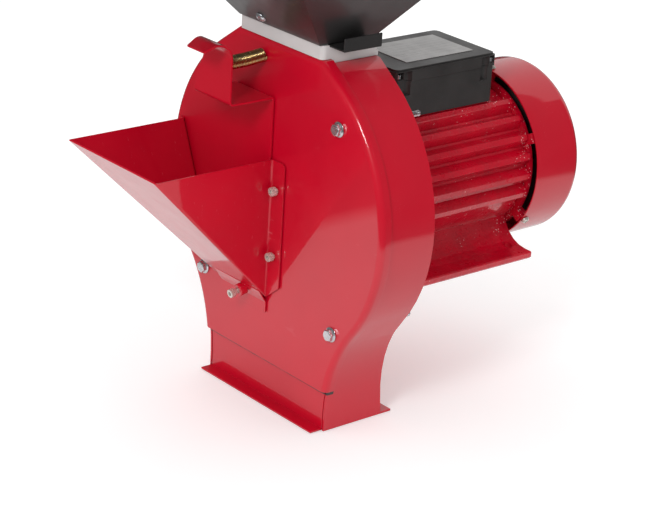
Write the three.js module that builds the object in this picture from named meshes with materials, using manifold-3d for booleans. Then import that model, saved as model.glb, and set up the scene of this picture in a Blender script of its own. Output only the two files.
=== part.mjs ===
// Electric hammer mill for grain and roots: sheet-steel mill housing with a side feed chute, a top
// hopper with a slide, a rotor with swinging hammers inside a sieve, and a foot-mounted motor behind.
//
// Millimetres, +Z up, +X to the right seen from the front, +Y from the front cover towards the motor.
// Sizes below are in the mill's own frame: the shaft axis is x = 0, the front cover's face is y = 0,
// and the outlet's lower edge is z = 0. The whole group is then shifted so that the origin lies in
// the plane under the motor feet, at the centre of their four bolt holes.
import * as THREE from 'three';
import { mergeVertices } from 'three/addons/utils/BufferGeometryUtils.js';
import { ConvexGeometry } from 'three/addons/geometries/ConvexGeometry.js';
import Module from 'manifold-3d';

const wasm = await Module();
wasm.setup();

// ---- Facets on round shapes ---------------------------------------------------------------------

const LARGE = 40;
const MEDIUM = 20;
const SMALL = 10;

// ---- Driving dimensions -------------------------------------------------------------------------

const GAP = 0.3; // clearance between two pieces that touch
const AXIS_Z = 204; // shaft axis above the outlet's lower edge

// Mill housing and front cover
const CASING_R = 155.3; // outside of the cover's rim
const COVER_RISE = 146; // the cover's flat top above the shaft axis
const TOP_HALF = 62.5; // half the length of that flat top
const OUTLET_HALF = 89.5; // half width of the outline at the outlet
const FLARE_R = 150; // concave radius between the round casing and the outlet
const COVER_BOTTOM = 41; // height of the cover's lower edge
const COVER_CORNER = 5; // radius of the cover's lower corners
const COVER_SHEET = 1.6; // sheet thickness of the cover
const COVER_BEND = 6; // outside bend radius between face and rim
const RIM_DEPTH = 12; // how far the rim reaches back over the housing
const HOUSING_SHEET = 2; // sheet thickness of the housing
const HOUSING_FRONT = 5.2; // front edge of the housing behind the cover
const HOUSING_DEPTH = 64; // back of the milling chamber's rear wall
const HOUSING_STEP = 4; // how far its flat top lies below the cover's
const REAR_SLOPE_TOP = 92; // height where the rear wall starts to slope back
const OUTLET_SETBACK = 11; // how far the rear wall has sloped back at the outlet
const OUTLET_FLANGE = 12; // width of the rear outlet flange
const OUTLET_FRONT_FLANGE = 13.2; // width of the front outlet flange
const OUTLET_SHEET = 2; // sheet thickness of the outlet's front panel and flanges
const PANEL_TOP = 78; // upper edge of the outlet's front panel, behind the cover
const PANEL_SLIT = 1.1; // open slit between the front panel and the side walls
const THROAT_X = 36; // half length of the grain throat
const THROAT_Y0 = 16; // front of the grain throat
const THROAT_Y1 = 46; // rear of the grain throat
const SHAFT_PORT_R = 22; // hole for the shaft in the rear wall

// Cover bolts: flange bolts that run through the chamber to nuts behind it
const BOLT_R = 3; // M6 shank
const BOLT_HOLE_R = 3.4;
const BOLT_TAIL = 30; // thread that stands out behind the housing
const BOLT_FLANGE_R = 7.1;
const BOLT_HEX_AF = 10; // across flats
const BOLT_HEAD = 5.6;
const BOLT_SPREAD = [[0.576, 0.59], [-0.576, 0.59], [0.618, -0.657], [-0.618, -0.657]]; // of the radius
const NUT_HEIGHT = 5;

// Feed chute
const CHUTE_TOP = 241; // height of the chute's upper edge
const CHUTE_BOTTOM = 103; // height where its sloping wall meets the cover
const CHUTE_REACH = 132.8; // how far its front edge stands out from the cover
const CHUTE_RIGHT = 2; // outside of the upright right wall
const CHUTE_LEFT_TOP = 136; // outside of the leaning left wall, at the top
const CHUTE_LEFT_BOTTOM = 76.6; // and at the bottom
const CHUTE_SHEET = 1.6;
const CHUTE_STANDOFF = 2.4; // slot between chute and cover
const CHUTE_FLANGE = 18; // width of its screw flanges
const FLANGE_CHAMFER_TOP = 3; // how much lower the flange's outer edge starts
const FLANGE_CHAMFER_BOTTOM = 14; // how much higher the flange's outer edge ends
const TAB_HEIGHT = 14; // tab below the chute that lies on the cover
const TAB_INSET = 10; // the tab's left end, in from the chute's left wall
const CHUTE_SCREW_Z = [213.5, 149.2];
const CHUTE_SCREW_IN = 8.4; // screw centre from the chute wall's outside
const CHUTE_SCREW_TAIL = 2.4; // thread that stands out behind the cover

// Feed gate: one bent sheet, shown raised
const GATE_WIDTH = 56;
const GATE_SHEET = 2;
const GATE_SIDE_GAP = 1.4; // between the gate's edge and the chute's right wall
const GATE_FACE_GAP = 0.8; // between the gate and the cover's face
const GATE_BOTTOM = 172; // lower edge when raised
const GATE_SHELF = 300; // top of its shelf
const GATE_SHELF_REACH = 52; // front face of the upright above the shelf
const GATE_UPRIGHT = 41; // height from shelf to the start of the curled lip
const GATE_CURL_R = 17; // outside radius of the curled lip
const GATE_CURL = 108; // degrees that the lip is curled through
const GATE_LIP = 11; // flat length of the lip after the curl
const GATE_TAPER = 0.36; // how much narrower the handle gets for its length
const INTAKE_HEIGHT = 56; // intake opening in the cover
const INTAKE_RISE = 9; // its lower edge above the chute's lowest line
const INTAKE_MARGIN = 4; // the gate's overlap at each side of the intake

// Gate spring, a close-wound coil, and the locking screw
const SPRING_R = 6.6;
const SPRING_WIRE = 1.6;
const SPRING_X = -21;
const SPRING_RISE = 33.5; // its middle above the gate's shelf
const SPRING_SAG = 1;
const LOCK_X = -24.5;
const LOCK_TILT = 10; // degrees below the horizontal
const LOCK_NUT_R = 6;
const LOCK_NUT_LENGTH = 8;
const LOCK_NUT_RISE = 3; // the nut's centre above the chute's lowest line
const LOCK_NUT_Y = -10.5; // depth of the nut's centre

// Socket head cap screws, M5
const CAP_R = 4.25;
const CAP_HEAD = 5;
const CAP_SHANK_R = 2.5;
const CAP_SOCKET_AF = 4;
const CAP_SOCKET_DEPTH = 2.6;

// Hopper, its slide and the spacer under it
const SPACER_HALF = 60;
const SPACER_HEIGHT = 13.2; // above the cover's flat top
const SPACER_FRONT = 1;
const SPACER_OVERHANG = 2.5; // how far it reaches back over the rear wall
const SPACER_CORNER = 5;
const SLIDE_SHEET = 1.6;
const SLIDE_Y0 = 9;
const SLIDE_Y1 = 52;
const SLIDE_OUT = 80; // where its upturned handle stands
const SLIDE_HANDLE = 12.5;
const SLIDE_END = -54; // the slide's far end
const HOPPER_HALF = 58; // half length of the hopper's lower edge
const HOPPER_FRONT = -1; // and its front
const HOPPER_SETBACK = 2; // and how far in front of the rear wall its rear lies
const HOPPER_HEIGHT = 150;
const HOPPER_FLARE_X = 0.66; // how much each side wall leans out for its height
const HOPPER_FLARE_Y = 0.9; // the same for the front and rear wall
const HOPPER_SHEET = 1.2;
const HOPPER_RIM = 14; // upright rim round the mouth
const HOPPER_BOLT_X = -16; // bolt in the front wall; its twin in the rear wall faces it
const HOPPER_BOLT_RISE = 9; // bolt centre above the lower edge

// Mill rotor
const SIEVE_CLEARANCE = 37.3; // between the casing's outside and the sieve's
const SIEVE_SHEET = 1.5;
const SIEVE_OPEN = 100; // degrees left open at the top
const SIEVE_Y0 = 5;
const SIEVE_SETBACK = 3.5; // between the sieve and the back of the rear wall
const SIEVE_ROWS = 3;
const SIEVE_COLUMNS = 12;
const SIEVE_HOLE = 8;
const DISC_CLEARANCE = 34; // between the discs and the sieve
const DISC_THICK = 4;
const FRONT_DISC_Y = 18; // front face of the front disc
const REAR_DISC_Y = 40; // front face of the rear disc
const PIN_INSET = 14; // from the disc's edge to the pins
const PIN_R = 5;
const PIN_HEAD_R = 7;
const PIN_HEAD = 2.4;
const HAMMER_CLEARANCE = 7; // between a hammer's tip and the sieve's outside
const HAMMER_WIDTH = 20;
const HAMMER_THICK = 6;
const HAMMER_Y = 28; // front face of the hammers
const HUB_R = 17;
const SHAFT_R = 12;
const SHAFT_THREAD_R = 8;
const SHAFT_SHOULDER_R = 15;
const SHAFT_NOSE_Y = 7; // front end of the shaft
const SHAFT_NUT_AF = 24;
const SHAFT_NUT = 8;

// Motor
const MOTOR_SETBACK = 24; // from the mill's rear wall to the ribbed frame
const MOTOR_LENGTH = 166; // length of the ribbed frame
const MOTOR_BORE_R = 66;
const MOTOR_WALL = 5;
const FIN_HEIGHT = 9;
const SHIELD_STEP = 11; // from the bore out to the end shields' edge
const FIN_FIRST = 35; // degrees from the top to the first fin
const FIN_PITCH = 14;
const FIN_COUNT = 6; // on each side
const FIN_TIP = 2.6; // half thickness at the tip
const FIN_ROOT = 7.5; // half thickness at the root
const FOOT_DROP = 83; // from the shaft down to the underside of the feet
const FOOT_THICK = 7.5;
const FOOT_HALF = 91;
const FOOT_SETBACK = 16; // from the ribbed frame's front to the feet
const FOOT_WEB_R = 34; // concave web between foot and frame
const FOOT_BOLT_X = 70;
const FOOT_BOLT_SPAN_Y = 125;
const FOOT_HOLE_R = 5;
const BEARING_R = 26;
const BEARING_WIDTH = 15;
const REAR_BEARING_R = 23.5;
const REAR_BEARING_WIDTH = 14;
const REAR_SHAFT_R = 10;
const STATOR_INNER_R = 38;
const STATOR_SETBACK = 25; // from either end of the ribbed frame to the stator
const WINDING = 13; // how far the end windings stand out
const AIR_GAP = 0.6;
const COWL_STEP = 20.6; // from the bore out to the cowl's outside
const COWL_SHEET = 1.5;
const COWL_LENGTH = 58.7;
const COWL_ROUND = 9;
const COWL_LUG_FIRST = 5; // degrees from the top
const COWL_SLOTS = 14;
const FAN_CLEARANCE = 14.6; // between the fan and the cowl's outside
const FAN_BLADES = 8;
const FAN_SETBACK = 24; // from the ribbed frame's rear to the fan

// Terminal box
const BOX_HALF = 44;
const BOX_SETBACK = 16; // from the ribbed frame's front to the box
const BOX_LENGTH = 127;
const BOX_STEP = 2.6; // the box's base above the bore
const BOX_HEIGHT = 48;
const LID_HEIGHT = 12.5;
const BOX_WALL = 3;
const BOX_CORNER = 5;
const POCKET_R = 4.6; // open-sided pockets at each corner
const POCKET_ROOF = 2.6; // how much of the lid covers them
const POCKET_DEPTH = 26; // how far the deeper one reaches below the lid's top
const POCKET_PITCH = 9; // between the screw's pocket and the deeper one
const LEDGE = 3; // lid left below the screw's head
const LID_SCREW_R = 2.9;
const LID_SCREW_HEAD = 4;
const LABEL_X0 = -30;
const LABEL_X1 = 28;
const LABEL_FRONT = 26; // bare lid in front of the label
const LABEL_REAR = 17; // and behind it
const LABEL_THICK = 0.5;
const CAPACITOR_R = 17;
const CAPACITOR_LENGTH = 75;
const GLAND_SETBACK = 46; // from the box's front to the gland
const GLAND_R = 9;

// ---- Derived places -----------------------------------------------------------------------------

const COVER_TOP = AXIS_Z + COVER_RISE;
const HOUSING_TOP = COVER_TOP - HOUSING_STEP;
const OUTLET_REAR = HOUSING_DEPTH + OUTLET_SETBACK;
const BOLT_PLACES = BOLT_SPREAD.map(([across, up]) => [across * CASING_R, AXIS_Z + up * CASING_R]);
const INTAKE_BOTTOM = CHUTE_BOTTOM + INTAKE_RISE;
const SPRING_Z = GATE_SHELF + SPRING_RISE;
const LOCK_NUT_Z = CHUTE_BOTTOM + LOCK_NUT_RISE;
const SPACER_TOP = COVER_TOP + SPACER_HEIGHT;
const SPACER_REAR = HOUSING_DEPTH + SPACER_OVERHANG;
const HOPPER_BASE = SPACER_TOP + GAP + 0.1;
const HOPPER_REAR = HOUSING_DEPTH - HOPPER_SETBACK;
const SIEVE_R = CASING_R - SIEVE_CLEARANCE;
const SIEVE_Y1 = HOUSING_DEPTH - SIEVE_SETBACK;
const DISC_R = SIEVE_R - DISC_CLEARANCE;
const PIN_CIRCLE_R = DISC_R - PIN_INSET;
const HAMMER_LENGTH = SIEVE_R - PIN_CIRCLE_R - HAMMER_CLEARANCE;
const MOTOR_FRONT = HOUSING_DEPTH + MOTOR_SETBACK;
const MOTOR_REAR = MOTOR_FRONT + MOTOR_LENGTH;
const MOTOR_ROOT_R = MOTOR_BORE_R + MOTOR_WALL;
const MOTOR_FIN_R = MOTOR_ROOT_R + FIN_HEIGHT;
const SHIELD_R = MOTOR_BORE_R + SHIELD_STEP;
const FOOT_PLANE = AXIS_Z - FOOT_DROP;
const FOOT_Y0 = MOTOR_FRONT + FOOT_SETBACK;
const STATOR_Y0 = MOTOR_FRONT + STATOR_SETBACK;
const STATOR_Y1 = MOTOR_REAR - STATOR_SETBACK;
const COWL_R = MOTOR_BORE_R + COWL_STEP;
const COWL_Y0 = MOTOR_REAR + 2.6;
const COWL_Y1 = COWL_Y0 + COWL_LENGTH;
const FAN_R = COWL_R - FAN_CLEARANCE;
const FAN_Y = MOTOR_REAR + FAN_SETBACK;
const BOX_Y0 = MOTOR_FRONT + BOX_SETBACK;
const BOX_Y1 = BOX_Y0 + BOX_LENGTH;
const BOX_BASE = AXIS_Z + MOTOR_BORE_R + BOX_STEP;
const BOX_TOP = BOX_BASE + BOX_HEIGHT;
const LABEL_Y0 = BOX_Y0 + LABEL_FRONT;
const LABEL_Y1 = BOX_Y1 - LABEL_REAR;
const GLAND_Y = BOX_Y0 + GLAND_SETBACK;
const RIM_STEP = COVER_SHEET + GAP; // how far the housing's outside lies within the cover's
const FLARE_X = OUTLET_HALF + FLARE_R;
const FLARE_Z = AXIS_Z - Math.sqrt((CASING_R + FLARE_R) ** 2 - FLARE_X ** 2);
const CORNER_REACH = Math.hypot(TOP_HALF, COVER_TOP - AXIS_Z);
const FACET = Math.atan2(TOP_HALF, COVER_TOP - AXIS_Z) + Math.acos(CASING_R / CORNER_REACH);
const GATE_RIGHT = CHUTE_RIGHT - CHUTE_SHEET - GATE_SIDE_GAP;
const GATE_LEFT = GATE_RIGHT - GATE_WIDTH;
const GATE_BACK = -GATE_FACE_GAP;
const NUT_FACE_Y = HOUSING_DEPTH + GAP;
const FOOT_CENTRE_Y = (FOOT_Y0 + MOTOR_REAR) / 2;
const SHAFT_TAIL_Y = FAN_Y + 22;
const BEARING_Y = HOUSING_DEPTH + GAP + 4;
const REAR_BEARING_Y = MOTOR_REAR + GAP + 3;
const LID_BASE = BOX_TOP - LID_HEIGHT;
const PAD_TOP = BOX_BASE - GAP;

// ---- Materials ----------------------------------------------------------------------------------

function finish(color, roughness, metalness) {
  return new THREE.MeshStandardMaterial({ color, roughness, metalness });
}

const RED_SHEET = finish(0xc00028, 0.22, 0);
const RED_CASTING = finish(0xb00826, 0.35, 0);
const BLACK_SHEET = finish(0x23201f, 0.3, 0);
const BLACK_PLASTIC = finish(0x1c1a1a, 0.5, 0);
const GREY_LID = finish(0x4a4849, 0.5, 0);
const WHITE_PLASTIC = finish(0xdcd6d6, 0.45, 0);
const ZINC = finish(0xc9cdd2, 0.25, 1);
const CAP_STEEL = finish(0xc6c0ae, 0.35, 1);
const GOLD_ZINC = finish(0xb59a4a, 0.3, 1);
const TOOL_STEEL = finish(0x7d7f83, 0.4, 1);
const SILVER_LABEL = finish(0xb9b6b4, 0.4, 1);
const COPPER = finish(0xa35b34, 0.45, 1);

// ---- Geometry helpers ---------------------------------------------------------------------------

const degrees = (value) => (value * Math.PI) / 180;

/** Turns a closed three.js geometry into a solid that can be joined and cut. */
function solid(geometry) {
  const bare = geometry.clone();
  bare.deleteAttribute('normal');
  bare.deleteAttribute('uv');
  const merged = mergeVertices(bare, 1e-4);
  const triangles = [];
  for (let i = 0; i < merged.index.count; i += 3) {
    const [a, b, c] = [0, 1, 2].map((k) => merged.index.getX(i + k));
    if (a !== b && b !== c && c !== a) {
      triangles.push(a, b, c);
    }
  }
  return new wasm.Manifold(
    new wasm.Mesh({
      numProp: 3,
      vertProperties: new Float32Array(merged.attributes.position.array),
      triVerts: new Uint32Array(triangles),
    }),
  );
}

/** Turns a solid back into a three.js geometry. */
function surface(body) {
  const mesh = body.getMesh();
  const geometry = new THREE.BufferGeometry();
  geometry.setAttribute('position', new THREE.BufferAttribute(new Float32Array(mesh.vertProperties), 3));
  geometry.setIndex(new THREE.BufferAttribute(new Uint32Array(mesh.triVerts), 1));
  return geometry;
}

const join = (first, ...rest) => rest.reduce((sum, part) => sum.add(part), first);
const cut = (first, ...rest) => rest.reduce((left, part) => left.subtract(part), first);

function shapeOf(points) {
  return new THREE.Shape(points.map(([a, b]) => new THREE.Vector2(a, b)));
}

function extruded(points, depth) {
  return new THREE.ExtrudeGeometry(shapeOf(points), { depth, bevelEnabled: false });
}

/** Extrudes an outline in X and Z from y0 to y1. */
function alongY(points, y0, y1) {
  return solid(extruded(points, y1 - y0).rotateX(Math.PI / 2).translate(0, y1, 0));
}

/** Extrudes an outline in Y and Z from x0 to x1. */
function alongX(points, x0, x1) {
  const turn = new THREE.Matrix4().makeBasis(
    new THREE.Vector3(0, 1, 0),
    new THREE.Vector3(0, 0, 1),
    new THREE.Vector3(1, 0, 0),
  );
  return solid(extruded(points, x1 - x0).applyMatrix4(turn).translate(x0, 0, 0));
}

/** Extrudes an outline in X and Y from z0 to z1. */
function alongZ(points, z0, z1) {
  return solid(extruded(points, z1 - z0).translate(0, 0, z0));
}

function block(x0, x1, y0, y1, z0, z1) {
  const box = new THREE.BoxGeometry(x1 - x0, y1 - y0, z1 - z0);
  return solid(box.translate((x0 + x1) / 2, (y0 + y1) / 2, (z0 + z1) / 2));
}

/** Turns a closed profile of [radius, y] points about the Y axis through (x, z). */
function turned(profile, segments, x = 0, z = 0) {
  const onAxis = profile[0][0] === 0;
  const points = profile.map(([r, y]) => new THREE.Vector2(r, y));
  const upright = THREE.ShapeUtils.area(points) > 0 ? points : points.reverse();
  if (!onAxis) {
    upright.push(upright[0].clone());
  }
  return solid(new THREE.LatheGeometry(upright, segments).translate(x, 0, z));
}

const rod = (radius, y0, y1, segments, x = 0, z = 0) =>
  turned([[0, y0], [radius, y0], [radius, y1], [0, y1]], segments, x, z);

const tube = (inner, outer, y0, y1, segments, x = 0, z = 0) =>
  turned([[inner, y0], [outer, y0], [outer, y1], [inner, y1]], segments, x, z);

/** A hexagonal bar along Y. */
function hexBar(acrossFlats, y0, y1, x = 0, z = 0) {
  return rod(acrossFlats / Math.sqrt(3), y0, y1, 6, x, z);
}

/** Joins closed outlines of equal point count, each in X and Z at its own y. */
function loft(levels) {
  const count = levels[0].points.length;
  const positions = levels.flatMap(({ y, points }) => points.flatMap(([x, z]) => [x, y, z]));
  const faces = [];
  for (let level = 0; level < levels.length - 1; level += 1) {
    for (let k = 0; k < count; k += 1) {
      const next = (k + 1) % count;
      const front = level * count;
      const back = front + count;
      faces.push(front + k, back + k, back + next, front + k, back + next, front + next);
    }
  }
  const last = (levels.length - 1) * count;
  const cap = (points) => {
    const contour = points.map(([x, z]) => new THREE.Vector2(x, z));
    return THREE.ShapeUtils.triangulateShape(contour, []);
  };
  cap(levels[0].points).forEach(([a, b, c]) => faces.push(a, b, c));
  cap(levels.at(-1).points).forEach(([a, b, c]) => faces.push(last + a, last + c, last + b));
  const geometry = new THREE.BufferGeometry();
  geometry.setAttribute('position', new THREE.Float32BufferAttribute(positions, 3));
  geometry.setIndex(faces);
  return solid(geometry);
}

/** Points on an arc in steps of about the given angle, both ends included. */
function arc(cx, cz, radius, from, to, stepDegrees = 6) {
  const steps = Math.max(1, Math.round(Math.abs(to - from) / degrees(stepDegrees)));
  return Array.from({ length: steps + 1 }, (_, i) => {
    const angle = from + ((to - from) * i) / steps;
    return [cx + radius * Math.cos(angle), cz + radius * Math.sin(angle)];
  });
}

/** A rectangle with rounded corners. */
function roundedBox(x0, x1, y0, y1, radius) {
  return [
    ...arc(x1 - radius, y1 - radius, radius, 0, Math.PI / 2, 30),
    ...arc(x0 + radius, y1 - radius, radius, Math.PI / 2, Math.PI, 30),
    ...arc(x0 + radius, y0 + radius, radius, Math.PI, 1.5 * Math.PI, 30),
    ...arc(x1 - radius, y0 + radius, radius, 1.5 * Math.PI, 2 * Math.PI, 30),
  ];
}

// ---- Group and naming ---------------------------------------------------------------------------

const mill = new THREE.Group();
mill.position.set(0, -FOOT_CENTRE_Y, -FOOT_PLANE);

function place(name, body, material) {
  const mesh = new THREE.Mesh(surface(body), material);
  mesh.name = name;
  mill.add(mesh);
}

// ---- Mill outline -------------------------------------------------------------------------------

/**
 * The mill's outline seen from the front, counter-clockwise: round casing with a flat top, two
 * slanted facets, and a concave flare down to the outlet. The inset shrinks it evenly.
 */
function outline(inset, top, bottom, corner = 0) {
  const reach = CASING_R - inset;
  const flare = FLARE_R + inset;
  const flareEnd = Math.acos(FLARE_X / (CASING_R + FLARE_R));
  const lowest = Math.max(bottom + corner, FLARE_Z);
  const flareStart = Math.asin((lowest - FLARE_Z) / flare);
  const right = [];
  const sideX = FLARE_X - flare * Math.cos(flareStart);
  if (corner > 0) {
    right.push(...arc(sideX - corner, bottom + corner, corner, -Math.PI / 2, 0, 30).slice(0, -1));
  } else if (bottom < FLARE_Z) {
    right.push([sideX, bottom]);
  }
  right.push(...arc(FLARE_X, FLARE_Z, flare, Math.PI - flareStart, Math.PI - flareEnd, 6));
  right.push(...arc(0, AXIS_Z, reach, -flareEnd, Math.PI / 2 - FACET, 6).slice(1));
  right.push([(reach - (top - AXIS_Z) * Math.cos(FACET)) / Math.sin(FACET), top]);
  const left = right.map(([x, z]) => [-x, z]).reverse();
  return [...right, ...left];
}

/** A profile in Y and Z from the front edge to the rear wall, which slopes back at the outlet. */
function sideProfile(front, wall, low, high) {
  return [
    [front, low],
    [OUTLET_REAR - wall, low],
    [OUTLET_REAR - wall, 0],
    [HOUSING_DEPTH - wall, REAR_SLOPE_TOP],
    [HOUSING_DEPTH - wall, high],
    [front, high],
  ];
}

// ---- Housing, outlet and cover ------------------------------------------------------------------

function millHousing() {
  const deep = OUTLET_REAR + 20;
  const outside = alongY(outline(RIM_STEP, HOUSING_TOP, 0), HOUSING_FRONT, deep).intersect(
    alongX(sideProfile(0, 0, -10, COVER_TOP), -CASING_R, CASING_R),
  );
  const wall = HOUSING_SHEET;
  const inside = alongY(outline(RIM_STEP + wall, HOUSING_TOP - wall, -5), 0, deep).intersect(
    alongX(sideProfile(-1, wall, -10, COVER_TOP), -CASING_R, CASING_R),
  );
  const flangeHalf = OUTLET_HALF - RIM_STEP;
  const flange = block(
    -flangeHalf, flangeHalf, OUTLET_REAR - wall, OUTLET_REAR + OUTLET_FLANGE, 0, OUTLET_SHEET,
  );
  const throat = block(-THROAT_X, THROAT_X, THROAT_Y0, THROAT_Y1, HOUSING_TOP - 10, HOUSING_TOP + 10);
  const port = rod(SHAFT_PORT_R, HOUSING_DEPTH - 10, HOUSING_DEPTH + 10, MEDIUM, 0, AXIS_Z);
  const holes = BOLT_PLACES.map(([x, z]) => rod(BOLT_HOLE_R, 50, 100, SMALL, x, z));
  return cut(join(cut(outside, inside), flange), throat, port, ...holes);
}

function outletFrontPanel() {
  const inset = RIM_STEP + HOUSING_SHEET + PANEL_SLIT;
  const back = HOUSING_FRONT + OUTLET_SHEET;
  const panel = alongY(outline(inset, HOUSING_TOP, 0), HOUSING_FRONT, back).intersect(
    block(-CASING_R, CASING_R, 0, 20, 0, PANEL_TOP),
  );
  const half = OUTLET_HALF - inset;
  const flange = block(
    -half, half, HOUSING_FRONT - OUTLET_FRONT_FLANGE, HOUSING_FRONT + 1, 0, OUTLET_SHEET,
  );
  return join(panel, flange);
}

function frontCover() {
  const bend = (radius, start, sheet) =>
    [0, 30, 60, 90].map((angle) => ({
      inset: sheet + radius * (1 - Math.sin(degrees(angle))),
      y: start + radius * (1 - Math.cos(degrees(angle))),
    }));
  const shell = (steps, end, sheet, top, bottom, corner) =>
    loft(
      [...steps, { inset: sheet, y: end }].map(({ inset, y }) => ({
        y,
        points: outline(inset, top - inset, bottom, corner),
      })),
    );
  const outside = shell(bend(COVER_BEND, 0, 0), RIM_DEPTH, 0, COVER_TOP, COVER_BOTTOM, COVER_CORNER);
  const innerBend = COVER_BEND - COVER_SHEET;
  const inside = shell(
    bend(innerBend, COVER_SHEET, COVER_SHEET), RIM_DEPTH + 1, COVER_SHEET, COVER_TOP, COVER_BOTTOM - 8, 0,
  );
  const intake = block(
    GATE_LEFT + INTAKE_MARGIN, GATE_RIGHT - INTAKE_MARGIN, -5, 10,
    INTAKE_BOTTOM, INTAKE_BOTTOM + INTAKE_HEIGHT,
  );
  const holes = BOLT_PLACES.map(([x, z]) => rod(BOLT_HOLE_R, -5, 10, SMALL, x, z));
  const screwHoles = chuteScrewPlaces().map(([x, z]) => rod(CAP_SHANK_R + GAP, -5, 10, SMALL, x, z));
  return cut(outside, inside, intake, ...holes, ...screwHoles);
}

function coverBolt(x, z) {
  const end = HOUSING_DEPTH + BOLT_TAIL;
  const shank = rod(BOLT_R, -1, end, SMALL, x, z);
  const flange = turned(
    [[0, -1.6], [5.6, -1.6], [BOLT_FLANGE_R, -GAP - 0.6], [BOLT_FLANGE_R, -GAP], [0, -GAP]], SMALL, x, z,
  );
  const head = hexBar(BOLT_HEX_AF, -BOLT_HEAD, -1, x, z);
  return join(shank, flange, head);
}

function coverNut(x, z) {
  const body = hexBar(BOLT_HEX_AF, NUT_FACE_Y, NUT_FACE_Y + NUT_HEIGHT, x, z);
  return cut(body, rod(BOLT_R + GAP, NUT_FACE_Y - 1, NUT_FACE_Y + NUT_HEIGHT + 1, SMALL, x, z));
}

// ---- Feed chute ---------------------------------------------------------------------------------

/** The corner where three planes meet; each plane is given by its normal and its distance. */
function corner(...planes) {
  const rows = planes.map(([n]) => n);
  const m = new THREE.Matrix3().set(...rows[0], ...rows[1], ...rows[2]).invert();
  const v = new THREE.Vector3(planes[0][1], planes[1][1], planes[2][1]).applyMatrix3(m);
  return v;
}

/** How far the left wall's outside is from the shaft's plane at a height. */
function chuteLeftX(z) {
  const share = (z - CHUTE_BOTTOM) / (CHUTE_TOP - CHUTE_BOTTOM);
  return -(CHUTE_LEFT_BOTTOM + share * (CHUTE_LEFT_TOP - CHUTE_LEFT_BOTTOM));
}

/** The wedge that the chute's walls enclose, shrunk by a sheet and reaching from rear to top. */
function chuteWedge(sheet, rear, top) {
  const lean = Math.atan2(CHUTE_LEFT_TOP - CHUTE_LEFT_BOTTOM, CHUTE_TOP - CHUTE_BOTTOM);
  const fall = Math.atan2(CHUTE_REACH, CHUTE_TOP - CHUTE_BOTTOM);
  const leftNormal = [-Math.cos(lean), 0, -Math.sin(lean)];
  const slopeNormal = [0, -Math.cos(fall), -Math.sin(fall)];
  const leftAt = Math.cos(lean) * CHUTE_LEFT_BOTTOM - Math.sin(lean) * CHUTE_BOTTOM - sheet;
  const slopeAt = -Math.sin(fall) * CHUTE_BOTTOM - sheet;
  const left = [leftNormal, leftAt];
  const slope = [slopeNormal, slopeAt];
  const right = [[1, 0, 0], CHUTE_RIGHT - sheet];
  const upper = [[0, 0, 1], top];
  const back = [[0, 1, 0], rear];
  return solid(
    new ConvexGeometry([
      corner(left, slope, upper),
      corner(right, slope, upper),
      corner(left, back, upper),
      corner(right, back, upper),
      corner(left, slope, back),
      corner(right, slope, back),
    ]),
  );
}

function chuteScrewPlaces() {
  return CHUTE_SCREW_Z.flatMap((z) => [
    [CHUTE_RIGHT + CHUTE_SCREW_IN, z],
    [chuteLeftX(z) - CHUTE_SCREW_IN, z],
  ]);
}

function feedChute() {
  const rear = -CHUTE_STANDOFF;
  const front = rear - CHUTE_SHEET;
  const walls = cut(chuteWedge(0, rear, CHUTE_TOP), chuteWedge(CHUTE_SHEET, 5, CHUTE_TOP + 5));
  const high = CHUTE_TOP;
  const low = CHUTE_BOTTOM + 3;
  const flange = (edgeX, side) => {
    const points = [
      [edgeX(low) - side, low],
      [edgeX(low + FLANGE_CHAMFER_BOTTOM) + side * CHUTE_FLANGE, low + FLANGE_CHAMFER_BOTTOM],
      [edgeX(high - FLANGE_CHAMFER_TOP) + side * CHUTE_FLANGE, high - FLANGE_CHAMFER_TOP],
      [edgeX(high) + side * (CHUTE_FLANGE - FLANGE_CHAMFER_TOP), high],
      [edgeX(high) - side, high],
    ];
    return alongY(points, front, rear);
  };
  const rightFlange = flange(() => CHUTE_RIGHT, 1);
  const leftFlange = flange(chuteLeftX, -1);
  const tabLow = CHUTE_BOTTOM - TAB_HEIGHT;
  const tab = block(
    -CHUTE_LEFT_BOTTOM + TAB_INSET, CHUTE_RIGHT, -GAP - CHUTE_SHEET, -GAP, tabLow, CHUTE_BOTTOM,
  );
  const slopeZ = (y) => CHUTE_BOTTOM - (y * (CHUTE_TOP - CHUTE_BOTTOM)) / CHUTE_REACH;
  const thick = CHUTE_SHEET * 1.3;
  const bend = [
    [-GAP - CHUTE_SHEET, tabLow + 1],
    [-GAP, tabLow + 1],
    [-GAP, slopeZ(-GAP) + thick],
    [front, slopeZ(front) + thick],
    [front, slopeZ(front)],
    [-GAP - CHUTE_SHEET, slopeZ(-GAP - CHUTE_SHEET)],
  ];
  const foot = alongX(bend, -CHUTE_LEFT_BOTTOM + TAB_INSET, CHUTE_RIGHT);
  const holes = chuteScrewPlaces().map(([x, z]) => rod(CAP_SHANK_R + GAP, -10, 5, SMALL, x, z));
  return cut(join(walls, rightFlange, leftFlange, tab, foot), ...holes, lockBore());
}

/** A socket head cap screw along +Y with its head's seat at y = 0. */
function capScrew(length) {
  const head = turned(
    [[0, -CAP_HEAD], [CAP_R - 0.5, -CAP_HEAD], [CAP_R, -CAP_HEAD + 0.5], [CAP_R, 0], [0, 0]], SMALL,
  );
  const shank = rod(CAP_SHANK_R, -1, length, SMALL);
  const socket = hexBar(CAP_SOCKET_AF, -CAP_HEAD - 1, -CAP_HEAD + CAP_SOCKET_DEPTH);
  return cut(join(head, shank), socket);
}

function chuteScrew(x, z) {
  const seat = -CHUTE_STANDOFF - CHUTE_SHEET - GAP;
  return capScrew(CHUTE_STANDOFF + CHUTE_SHEET + COVER_SHEET + CHUTE_SCREW_TAIL).translate([x, seat, z]);
}

// ---- Feed gate, spring and lock -----------------------------------------------------------------

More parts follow.
